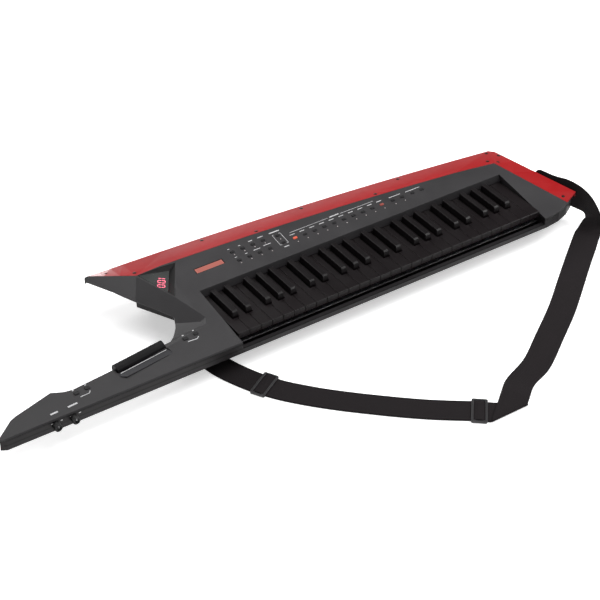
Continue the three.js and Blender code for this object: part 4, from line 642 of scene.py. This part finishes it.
# %% Webbing
WEAVE_ROW, WEAVE_STITCH, SELVEDGE = 0.0021, 0.0026, 2.2
cloth = Finish("strap_webbing", specular_ior_level=0.12, sheen_weight=0.04, sheen_roughness=0.5,
               sheen_tint=(0.5, 0.45, 0.47, 1))
on_cloth = cloth.node("UVMap", {"uv_map": "UVMap"})
across, along = [cloth.node("SeparateXYZ", values={0: on_cloth}, output=axis) for axis in "XY"]
row = cloth.math("PINGPONG", across * (1 / WEAVE_ROW), 0.5) * 2
odd = cloth.math("FRACT", across * (0.5 / WEAVE_ROW)) > 0.5
slant = (odd * 2 - 1) * across * (1 / WEAVE_ROW)
stitch = cloth.math("PINGPONG", along * (1 / WEAVE_STITCH) + slant, 0.5) * 2
rolled = cloth.math("ABSOLUTE", across - STRAP_WIDTH * MM / 2) > (STRAP_WIDTH / 2 - SELVEDGE) * MM
thread = cloth.math("POWER", row, 0.5) * (stitch * 0.6 + 0.4)
fuzz = noise(cloth, 0.0009, detail=3)
weave = cloth.mix(thread * 0.8 + fuzz * 0.3, (0.004, 0.003, 0.0034), (0.017, 0.0135, 0.0148))
cloth.feed(base_color=cloth.mix(spots(cloth, 0.06) * 0.25 + rolled * 0.3, weave, (0.009, 0.008, 0.0085)),
           roughness=cloth.between(fuzz, 0.2, 0.8, 0.75, 0.9),
           normal=cloth.node("Bump", values={"Height": thread + fuzz * 0.15, "Distance": 0.0004}))
strap.data.materials.append(cloth.material)
print("webbing nodes", len(cloth.tree.nodes))

# %% Give every CAD solid its finish
BY_SLOT = {"shell": shell, "underside": underside, "blade": lacquer, "white_key": white_key, "black_key": black_key,
           "steel": steel, "board": board, "lcd": screen, "smoked_pane": pane, "digits": display_body,
           "touch_strip": film, "cells": cells, "webbing": cloth, "slider": slider_plastic, "button": rubber,
           "bar": bar_plastic, "knob": knob_plastic}
for part in frame["record"]["subparts"]:
    finish = BY_SLOT[part["material_slot"]]
    mesh = frame["nodes"][part["node"]].data
    mesh.materials.clear()
    mesh.materials.append(finish.material)
for made in (slider_near, slider_far):
    made.data.materials.append(slider_plastic.material)

# %% [markdown]
# ## Screws
# Low round screws hold the red cover, and smaller ones close the belly. The head could be a plain disc, but close up
# its hexagon socket catches the light. One cone is the blank: its top is inset twice, the inner ring is snapped to a
# hexagon, and the middle goes down as the socket. Each hole gets a head, square to the cover's slope there.

# %% One screw head
# In millimetres: the head, the sloping edge of its crown, the slight dish inside it, and the hexagon socket.
HEAD_RADIUS, HEAD_HEIGHT, HEAD_SIDES = 3.9, 1.2, 24
CROWN_EDGE, CROWN_RISE, DISH_RISE = 0.45, 0.3, 0.1
SOCKET_RADIUS, SOCKET_DEPTH, SOCKET_DRAFT = 1.35, 0.7, 0.02
SIXTH = math.pi / 3


def screw_head(work, centre, axis, radius=HEAD_RADIUS):
    """Adds a screw head whose rim is at centre and whose crown points along axis."""
    before = set(work.verts)
    made = bmesh.ops.create_cone(work, cap_ends=True, segments=HEAD_SIDES, radius1=radius, radius2=radius,
                                 depth=HEAD_HEIGHT)["verts"]
    bmesh.ops.translate(work, verts=made, vec=(0, 0, -HEAD_HEIGHT / 2))
    faces = {face for vert in made for face in vert.link_faces}
    top = max(faces, key=lambda face: face.calc_center_median().z)
    bmesh.ops.inset_individual(work, faces=[top], thickness=CROWN_EDGE, depth=CROWN_RISE)
    bmesh.ops.inset_individual(work, faces=[top], thickness=radius - CROWN_EDGE - SOCKET_RADIUS, depth=DISH_RISE)
    for vert in top.verts:
        angle = math.atan2(vert.co.y, vert.co.x) % SIXTH - SIXTH / 2
        reach = SOCKET_RADIUS * math.cos(SIXTH / 2) / math.cos(angle) / math.hypot(vert.co.x, vert.co.y)
        vert.co.x *= reach
        vert.co.y *= reach
    bmesh.ops.inset_individual(work, faces=[top], thickness=SOCKET_DRAFT, depth=-SOCKET_DEPTH)
    turn = Vector(axis).to_track_quat("Z", "Y").to_matrix().to_4x4()
    place = Matrix.Translation(at(*centre)) @ turn @ Matrix.Scale(MM, 4)
    bmesh.ops.transform(work, matrix=place, verts=[vert for vert in work.verts if vert not in before])


# %% Screws of the cover and of the belly
# Each row: a hole's mouth in millimetres and the direction square to the cover there.
COVER_SCREWS = [
    (-118, 252.88, 19.88, 0.126, 0.332, 0.935), (-76, 224.75, 22.37, -0.021, 0.204, 0.979),
    (82, 251.78, 15.85, 0.014, 0.251, 0.968), (175, 211.44, 24.47, 0.019, 0.243, 0.97),
    (294, 238, 15.49, 0.021, 0.229, 0.973), (434, 192.87, 22.11, 0.027, 0.203, 0.979),
    (507, 218.76, 14.97, 0.022, 0.192, 0.981), (710, 197.53, 13.95, 0.019, 0.122, 0.992),
    (690, 169.73, 17.83, 0.033, 0.118, 0.993), (726.54, 179.25, 13.19, 0.192, -0.026, 0.981),
    (707.57, 157.71, 16.34, 0.221, -0.052, 0.974), (755.35, 16.7, -2.24, -0.027, -0.141, 0.99),
]
BELLY_SCREWS = [(40, 50), (40, 188), (340, 50), (340, 172), (600, 50), (600, 158)]
BELLY, BELLY_HEAD_SINK, BELLY_HEAD_RADIUS = -56.5, 0.5, 2.7
work = bmesh.new()
for x, y, z, *axis in COVER_SCREWS:
    screw_head(work, (x, y, z), axis)
cover_screws = piece("cover_screws", work)
work = bmesh.new()
for x, y in BELLY_SCREWS:
    screw_head(work, (x, y, BELLY + BELLY_HEAD_SINK), (0, 0, -1), BELLY_HEAD_RADIUS)
belly_screws = piece("belly_screws", work)
for made in (cover_screws, belly_screws):
    made.data.materials.append(dark_steel.material)
    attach(made, "case")
print("screw faces", len(cover_screws.data.polygons), len(belly_screws.data.polygons))

# %% [markdown]
# ## Number display
# Behind the smoked window three figures glow. Seven-segment figures are bars with pointed ends, so one segment is a
# six-sided disc whose two halves are pulled apart, given a little height. Figures are only a choice of segments.
# The lit bars are a piece of their own with a strong emission, and the unlit ones show faintly beside them.

# %% Sizes and segments of the figures
DISPLAY_CENTRE, DISPLAY_TURN, DISPLAY_TOP = (-44.3, 182.9), math.radians(-33.13), -8.1
FIGURE_WIDTH, FIGURE_HEIGHT, FIGURE_PITCH = 6, 13, 11
BAR_WIDTH, BAR_HEIGHT, BAR_GAP = 1.6, 0.3, 0.5
# Each segment: how far to the side and up its middle is, in shares of the figure, and whether it stands.
SEGMENTS = {"a": (0, 1, False), "b": (0.5, 0.5, True), "c": (0.5, -0.5, True), "d": (0, -1, False),
            "e": (-0.5, -0.5, True), "f": (-0.5, 0.5, True), "g": (0, 0, False)}
FIGURES = ["bc", "abcdef", "abcdef"]
PANEL_TILT, PANEL_FRONT = math.radians(8.8), -5


def on_panel(x, y, turn=0.0, lift=0.0):
    """The place of a thing drawn flat in millimetres that lies on the sloping panel."""
    height = math.tan(PANEL_TILT) * y + PANEL_FRONT
    flat = Matrix.Rotation(PANEL_TILT, 4, "X") @ Matrix.Rotation(turn, 4, "Z")
    return Matrix.Translation(at(x, y, height)) @ flat @ Matrix.Scale(MM, 4) @ Matrix.Translation((0, 0, lift))


def glowing_bar(work, x, y, length, is_upright, place):
    """Adds one segment: a bar with pointed ends."""
    made = bmesh.ops.create_cone(work, cap_ends=True, segments=6, radius1=BAR_WIDTH / 2, radius2=BAR_WIDTH / 2,
                                 depth=BAR_HEIGHT)["verts"]
    for vert in made:
        if abs(vert.co.x) > 0.01:
            vert.co.x += math.copysign(length / 2 - BAR_WIDTH / 2, vert.co.x)
    bend = Matrix.Rotation(math.pi / 2 if is_upright else 0, 4, "Z")
    bmesh.ops.transform(work, matrix=place @ Matrix.Translation((x, y, 0)) @ bend, verts=made)


print("figures", len(FIGURES), "segments each", len(SEGMENTS))

# %% The figures
figures = on_panel(*DISPLAY_CENTRE, DISPLAY_TURN, DISPLAY_TOP) @ Matrix.Rotation(-math.pi / 2, 4, "Z")
lit_work, unlit_work = bmesh.new(), bmesh.new()
for number, lit_segments in enumerate(FIGURES):
    middle = (number - 1) * FIGURE_PITCH
    for name, (side, rise, is_upright) in SEGMENTS.items():
        length = (FIGURE_HEIGHT / 2 if is_upright else FIGURE_WIDTH) - BAR_GAP
        target = lit_work if name in lit_segments else unlit_work
        glowing_bar(target, middle + side * FIGURE_WIDTH, rise * FIGURE_HEIGHT / 2, length, is_upright, figures)
lit_figures, unlit_figures = piece("lit_figures", lit_work), piece("unlit_figures", unlit_work)
lit_figures.data.materials.append(segment.material)
unlit_figures.data.materials.append(display_body.material)
for made in (lit_figures, unlit_figures):
    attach(made, "case")
print("lit bars", len(lit_figures.data.polygons) // 8)

# %% [markdown]
# ## Printed marks
# White ink groups the buttons. It could be drawn by the shell's material, but forty masks in one material are slow.
# Ink has a real thickness, so each mark is a bar of a few hundredths of a millimetre on the panel.

# %% Places of the ink
# Each row: the two ends on the panel in millimetres, and the width of the stroke. First the screen's buttons, then
# the pair beside them with its frame, the tone row and the group at its right, and last the neck.
INK = [
    (144.4, 191.5, 153, 191.5, 1.5), (164.3, 191.8, 176, 191.8, 1.5), (140.8, 167.6, 154.9, 167.6, 1.5),
    (163.1, 169.6, 179.2, 169.6, 1.5), (99, 191, 103, 191, 1.1), (122, 190.4, 126.4, 190.4, 1.1),
    (100, 167.4, 105, 167.4, 1.1), (122, 167.2, 127, 167.2, 1.1),
    (189.8, 191.5, 211.8, 191.5, 2.2), (192.2, 184.5, 192.3, 156, 0.7), (209.4, 184.5, 209.5, 156, 0.7),
    (192.2, 184.5, 195.5, 184.5, 0.7), (206.2, 184.5, 209.4, 184.5, 0.7), (192.2, 156, 195.5, 156, 0.7),
    (206.2, 156, 209.5, 156, 0.7), (195.7, 149, 206.2, 149, 1.6),
    (225.3, 176.2, 311.6, 176.4, 0.7), (315.5, 176.8, 336.7, 177.2, 2.2), (340, 176.4, 415.5, 175.8, 0.7),
    (448, 169, 474.4, 169, 1.2), (486.3, 167.9, 520, 167.9, 1.2),
    (-306, 7, -289, 7.6, 1.3), (-289, 7.6, -285.5, 11.5, 1.3), (-84, 30, -66, 28.6, 1.3), (-66, 28.6, -61, 32.5, 1.3),
    (-368, -3.8, -354, -3.2, 3.2), (-335, -3, -317, -1.8, 3.2), (-312, 25.6, -309, 25.7, 2.2),
    (-288, 26.6, -285, 26.7, 2.2), (-86, 46.4, -83, 46.5, 2.2), (-64, 48.6, -61, 48.7, 2.2),
]
INK += [(x - 5.4, 170.2, x + 5.4, 170.2, 1.4) for x in TONE_COLUMNS]
INK_LIFT, INK_THICKNESS = 0.02, 0.08
print("marks", len(INK))


# %% Bars of ink
def block(work, place, size):
    """Adds a cube that is stretched to a size and put in place by a matrix."""
    made = bmesh.ops.create_cube(work, size=1)["verts"]
    bmesh.ops.transform(work, matrix=place @ Matrix.Diagonal((*size, 1)), verts=made)
    return made


def ink_bar(work, x1, y1, x2, y2, width):
    """Adds a flat bar of ink between two places on the panel."""
    turn = math.atan2(y2 - y1, x2 - x1)
    place = on_panel((x1 + x2) / 2, (y1 + y2) / 2, turn, INK_LIFT)
    block(work, place, (math.hypot(x2 - x1, y2 - y1), width, INK_THICKNESS))


work = bmesh.new()
for stroke in INK:
    ink_bar(work, *stroke)
printed_marks = piece("printed_marks", work)
ink = Finish("white_ink")
rubbed = ink.between(noise(ink, 0.0012, detail=3), 0.35, 0.6)
ink.feed(base_color=ink.mix(rubbed, (0.3, 0.3, 0.31), (0.62, 0.62, 0.63)), roughness=spots(ink, 0.003, 0.45, 0.6))
printed_marks.data.materials.append(ink.material)
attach(printed_marks, "case")
print("ink faces", len(printed_marks.data.polygons))

# %% Small lamps beside the buttons
MENU_COLUMNS = (104, 126.2, 148.4, 170.6)
LAMPS = [(x, y) for y in (174.6, 151) for x in MENU_COLUMNS]
LAMPS += [(201.5, 170)] + [(x, 149.5) for x in (*TONE_COLUMNS, 451, 473)]
LAMP_RADIUS, LAMP_HEIGHT = 1.15, 0.45
work = bmesh.new()
for x, y in LAMPS:
    made = bmesh.ops.create_uvsphere(work, u_segments=12, v_segments=8, radius=1)["verts"]
    lens_shape = Matrix.Diagonal((LAMP_RADIUS, LAMP_RADIUS, LAMP_HEIGHT, 1))
    bmesh.ops.transform(work, matrix=on_panel(x, y) @ lens_shape, verts=made)
button_lamps = piece("button_lamps", work, sharp=80)
lens = Finish("milky_lens", coat_weight=0.6, coat_roughness=0.08)
lens.feed(base_color=uneven(lens, 0.002, (0.3, 0.26, 0.26), (0.42, 0.37, 0.37)),
          roughness=spots(lens, 0.001, 0.25, 0.35))
button_lamps.data.materials.append(lens.material)
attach(button_lamps, "case")
print("lamps beside buttons", len(LAMPS))

# %% [markdown]
# ## Ribbed knobs
# The two knobs at the neck's front are turned with a thumb, so they have ribs. A lathe shape has none, and carving
# the slots by boolean is slow. Instead the knob is a disc with 96 corners, every second pair of which is drawn in
# before it is pulled out to its length; the cap is inset, and a line of ink shows which way the knob points.

# %% A ribbed knob
# In millimetres: the knob's ends, level and radius, its rim and dished cap, and the shaft behind it. A rib's foot
# is a share of the radius.
KNOB_FRONT, KNOB_BACK, KNOB_LEVEL, KNOB_RADIUS = -28, -17.1, -18.5, 7
KNOB_SIDES, RIB_FOOT = 96, 0.93
RIM_WIDTH, RIM_RISE, DISH_EDGE, DISH_SINK = 0.8, 0.5, 0.9, 0.35
SHAFT_RADIUS, SHAFT_LENGTH, SHAFT_MIDDLE = 3, 13, 6.6


def ribbed_knob(name, x):
    """A knob whose axis runs along the keyboard's depth, with its shaft."""
    lying = Matrix.Rotation(math.pi / 2, 3, "X")
    work = bmesh.new()
    bmesh.ops.create_circle(work, cap_ends=True, segments=KNOB_SIDES, radius=KNOB_RADIUS)
    bmesh.ops.rotate(work, verts=work.verts[:], matrix=lying)
    for vert in work.verts:
        turn = math.atan2(vert.co.z, vert.co.x) / (2 * math.pi) * KNOB_SIDES
        if round(turn) % 4 in (1, 2):
            vert.co *= RIB_FOOT
    work.faces.ensure_lookup_table()
    disc = work.faces[0]
    disc.normal_update()
    if disc.normal.y > 0:
        disc.normal_flip()
    grown = bmesh.ops.extrude_face_region(work, geom=[disc], use_keep_orig=True)["geom"]
    cap = [item for item in grown if isinstance(item, bmesh.types.BMFace)][0]
    bmesh.ops.translate(work, verts=cap.verts[:], vec=(0, KNOB_FRONT - KNOB_BACK, 0))
    bmesh.ops.inset_individual(work, faces=[cap], thickness=RIM_WIDTH, depth=RIM_RISE)
    bmesh.ops.inset_individual(work, faces=[cap], thickness=DISH_EDGE, depth=-DISH_SINK)
    shaft = bmesh.ops.create_cone(work, cap_ends=True, segments=24, radius1=SHAFT_RADIUS, radius2=SHAFT_RADIUS,
                                  depth=SHAFT_LENGTH)["verts"]
    bmesh.ops.rotate(work, verts=shaft, matrix=lying)
    bmesh.ops.translate(work, verts=shaft, vec=(0, SHAFT_MIDDLE, 0))
    bmesh.ops.recalc_face_normals(work, faces=work.faces[:])
    place = Matrix.Translation(at(x, KNOB_BACK, KNOB_LEVEL)) @ Matrix.Scale(MM, 4)
    bmesh.ops.transform(work, matrix=place, verts=work.verts[:])
    made = piece(name, work, sharp=30)
    made.data.materials.append(knob_plastic.material)
    return made


# %% The two knobs and their pointers
KNOB_PLACES = (-366, -333)
POINTER_OUT, POINTER_UP, POINTER_SIZE = 0.1, 3, (0.9, 0.5, 4.2)
for number, x in enumerate(KNOB_PLACES, 1):
    body = f"assign_knob_{number}"
    knob = ribbed_knob(f"ribbed_knob_{number}", x)
    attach(knob, body)
    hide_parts(body)
    work = bmesh.new()
    place = Matrix.Translation(at(x, KNOB_FRONT - POINTER_OUT, KNOB_LEVEL + POINTER_UP))
    block(work, place, [side * MM for side in POINTER_SIZE])
    line = piece(f"knob_pointer_{number}", work)
    line.data.materials.append(ink.material)
    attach(line, body)
print("knob faces", len(knob.data.polygons))

# %% [markdown]
# ## Marks on the neck's front, and the line of the touch strip
# Four short bars of ink beside the knobs lie on the upright front of the neck, and a bright line runs between the
# touch strip and the bar behind it. Each is a thin block placed in its own plane.

# %% Bars on the front and along the strip
# The marks' places along and up, the neck's front face and a mark's size; then the start and the turn of the raised
# bar, and the bright line's middle and size, measured from that start.
FRONT_BARS = [(-372, -14.3), (-355, -13.9), (-337, -14), (-321, -13.3)]
NECK_FRONT, FRONT_BAR_SIZE = -16.98, (3.6, 0.08, 1.3)
BAR_START, BAR_TURN = (-225, 22, -1.59), math.radians(7.3)
LINE_MIDDLE, LINE_SIZE = (51.5, -1.9, 0.05), (97, 0.9, 0.3)
work = bmesh.new()
for x, z in FRONT_BARS:
    block(work, Matrix.Translation(at(x, NECK_FRONT, z)), [side * MM for side in FRONT_BAR_SIZE])
strip_frame = Matrix.Translation(at(*BAR_START)) @ Matrix.Rotation(BAR_TURN, 4, "Z") @ Matrix.Scale(MM, 4)
# A pale line along the front edge of the raised bar.
block(work, strip_frame @ Matrix.Translation(LINE_MIDDLE), LINE_SIZE)
front_marks = piece("front_marks", work)
bright_ink = Finish("bright_ink")
bright_ink.feed(base_color=uneven(bright_ink, 0.004, (0.68, 0.68, 0.68), (0.8, 0.8, 0.8)),
                roughness=spots(bright_ink, 0.003, 0.4, 0.55))
front_marks.data.materials.append(bright_ink.material)
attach(front_marks, "case")
print("front marks", len(front_marks.data.polygons) // 6)

# %% [markdown]
# ## Sockets
# At the back are two line sockets, a square data socket and the power socket. Each has its metal: a threaded collar,
# a drawn shell, a centre pin. A collar could be a torus, but its edges are turned flat with small chamfers, so a
# section is drawn once and spun round the socket's axis, then merged where the spin meets itself.

# %% Sections of the turned metal
SOCKET_ALONG, SOCKET_OUT, SOCKET_MIDDLE = (0.9951, -0.0984, 0), (0.0984, 0.9951, 0), (455.625, 218.051, -21)
LINE_SOCKETS, DATA_SOCKET, POWER_SOCKET = (-26, -6), 12, 28
COLLAR = [(3.2, -9), (3.45, -9), (3.45, -0.3), (5.4, -0.3), (5.4, 0.5), (5.0, 0.9), (3.6, 0.9), (3.2, 0.5)]
PIN = [(0, -9), (0.95, -9), (0.95, -2), (0.5, -1.5), (0, -1.5)]
SLEEVE = [(2.55, -9), (2.75, -9), (2.75, -0.1), (2.55, -0.1)]


def turned(work, section, x, steps=32):
    """Spins a section of radius and reach round a socket's axis."""
    points = [work.verts.new((x + radius, reach, 0)) for radius, reach in section]
    edges = [work.edges.new(pair) for pair in zip(points, points[1:])]
    if section[0][0] > 0:
        edges.append(work.edges.new((points[-1], points[0])))
    bmesh.ops.spin(work, geom=points + edges, cent=(x, 0, 0), axis=(0, 1, 0), angle=2 * math.pi, steps=steps,
                   use_merge=True)


print("sections", len(COLLAR), len(PIN), len(SLEEVE))

# %% Collars, sleeve, pin and the data socket's shell
DATA_SHELL_MIDDLE, DATA_SHELL_SIZE, DATA_WALL, DATA_DEPTH = -4.9, (9.6, 9.2, 6.6), 0.35, 7.5
TONGUE_MIDDLE, TONGUE_SIZE = -4.6, (5.2, 6.4, 2.8)
work = bmesh.new()
for x in LINE_SOCKETS:
    turned(work, COLLAR, x)
turned(work, PIN, POWER_SOCKET, steps=16)
turned(work, SLEEVE, POWER_SOCKET)
bmesh.ops.remove_doubles(work, verts=work.verts[:], dist=0.001)
data_shell = block(work, Matrix.Translation((DATA_SOCKET, DATA_SHELL_MIDDLE, 0)), DATA_SHELL_SIZE)
shell_faces = {face for vert in data_shell for face in vert.link_faces}
mouth = max(shell_faces, key=lambda face: face.calc_center_median().y)
bmesh.ops.inset_individual(work, faces=[mouth], thickness=DATA_WALL, depth=0)
bmesh.ops.inset_individual(work, faces=[mouth], thickness=0.01, depth=-DATA_DEPTH)
block(work, Matrix.Translation((DATA_SOCKET, TONGUE_MIDDLE, 0)), TONGUE_SIZE)
bmesh.ops.recalc_face_normals(work, faces=work.faces[:])
socket_turn = Matrix((SOCKET_ALONG, SOCKET_OUT, (0, 0, 1))).transposed().to_4x4()
socket_frame = Matrix.Translation(at(*SOCKET_MIDDLE)) @ socket_turn @ Matrix.Scale(MM, 4)
bmesh.ops.transform(work, matrix=socket_frame, verts=work.verts[:])
socket_metal = piece("socket_metal", work, sharp=30)
socket_metal.data.materials.append(steel.material)
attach(socket_metal, "case")
print("socket faces", len(socket_metal.data.polygons))

# %% [markdown]
# ## Battery cover
# The cover slides off by its ribs. They could be seven pieces, but a row of ribs is one block set down again at an
# even pitch, so all seven go into one mesh and are bevelled at once.

# %% Grip ribs
RIBS, RIB_PITCH, RIB_START = 7, 2.6, (188, 105)
RIB_SIZE, RIB_RISE, RIB_EDGE = (1.2, 26, 0.9), 0.25, 0.25
work = bmesh.new()
for number in range(RIBS):
    place = (RIB_START[0] + number * RIB_PITCH, RIB_START[1], BELLY - RIB_RISE)
    block(work, Matrix.Translation(place), RIB_SIZE)
bmesh.ops.bevel(work, geom=work.edges[:], offset=RIB_EDGE, segments=2, affect="EDGES", profile=0.5, material=-1)
bmesh.ops.transform(work, matrix=Matrix.Translation(corner) @ Matrix.Scale(MM, 4), verts=work.verts[:])
cover_ribs = piece("cover_ribs", work, sharp=30)
cover_ribs.data.materials.append(underside.material)
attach(cover_ribs, "battery_cover")
print("rib faces", len(cover_ribs.data.polygons))

# %% [markdown]
# ## Softer edges on keys and buttons
# Sharp edges give a model away. The keys come from CAD as loose triangles, so their meshes are left alone: a Weld
# modifier joins the corners while rendering, and a Bevel modifier rounds every edge that turns more than 40 degrees.

# %% Rounded keys and buttons
# The rounding of each slot's solids in millimetres, and how near two corners are in metres to be one.
ROUNDED = {"white_key": 0.6, "black_key": 0.5, "button": 0.3, "bar": 0.5}
SAME_CORNER = 0.00001
for part in frame["record"]["subparts"]:
    width = ROUNDED.get(part["material_slot"])
    if width:
        node = frame["nodes"][part["node"]]
        weld = node.modifiers.new("joined corners", "WELD")
        weld.merge_threshold = SAME_CORNER
        soften(node, width * MM)
print("rounded", sum(1 for node in frame["nodes"].values() if node.modifiers))

# %% [markdown]
# ## Floor and light
# The photograph is a cut-out on white with hardly a shadow. An evenly white world would do that, but it would also
# lift the blacks. So the world is bright near the horizon and dim overhead, five large soft lamps give the keys and
# the cover their highlights, and the floor glows a little, to stay pale without hiding the contact shadow.

# %% Floor
FLOOR_REACH, FLOOR_DROP = 40, 0.0002
work = bmesh.new()
bmesh.ops.create_grid(work, x_segments=1, y_segments=1, size=FLOOR_REACH)
bmesh.ops.translate(work, verts=work.verts[:], vec=(0, 0, -FLOOR_DROP))
floor = piece("studio_floor", work)
paper = Finish("pale_paper", emission_strength=0.5, emission_color=(1, 1, 1))
paper.feed(base_color=uneven(paper, 0.5, (0.9, 0.9, 0.9), (0.92, 0.92, 0.92)),
           roughness=spots(paper, 0.2, 0.8, 0.9))
floor.data.materials.append(paper.material)
print("floor side", 2 * FLOOR_REACH, "m")

# %% A world that is bright at the horizon
# Between these two heights of a direction, the strength goes from the first to the second.
WORLD_HEIGHTS, WORLD_STRENGTHS = (0.12, 0.4), (0.46, 0.15)
world = bpy.data.worlds.new("white_room")
world.use_nodes = True
sky = world.node_tree
toward = sky.nodes.new("ShaderNodeTexCoord")
height = sky.nodes.new("ShaderNodeSeparateXYZ")
shade = sky.nodes.new("ShaderNodeMapRange")
sky.links.new(toward.outputs["Generated"], height.inputs[0])
sky.links.new(height.outputs["Z"], shade.inputs["Value"])
for name, value in zip(("From Min", "From Max", "To Min", "To Max"), WORLD_HEIGHTS + WORLD_STRENGTHS):
    shade.inputs[name].default_value = value
sky.links.new(shade.outputs[0], sky.nodes["Background"].inputs["Strength"])
sky.nodes["Background"].inputs["Color"].default_value = (1, 1, 1, 1)
bpy.context.scene.world = world
print("world nodes", len(sky.nodes))

# %% Lamps
# Each lamp: its place and its side in metres, and its power in watts.
STUDIO_LAMPS = {
    "lamp_left": ((-1.6, 2.2, 2.8), 1.8, 20),
    "lamp_front": ((0.5, -2.0, 3.0), 1.8, 30),
    "lamp_right": ((2.6, -0.6, 2.6), 1.8, 80),
    "lamp_behind": ((0.1, 2.8, 2.4), 1.6, 50),
    "lamp_above": ((0.7, 0.1, 3.2), 1.8, 50),
}
LAMP_TARGET = Vector((0.1, 0, 0))
for name, (place, size, power) in STUDIO_LAMPS.items():
    light = bpy.data.lights.new(name, "AREA")
    light.size = size
    light.energy = power
    holder = bpy.data.objects.new(name, light)
    holder.location = place
    holder.rotation_euler = (LAMP_TARGET - Vector(place)).to_track_quat("-Z", "Y").to_euler()
    bpy.context.scene.collection.objects.link(holder)
bpy.context.scene.view_settings.view_transform = "Standard"
print("lamps", len(STUDIO_LAMPS))
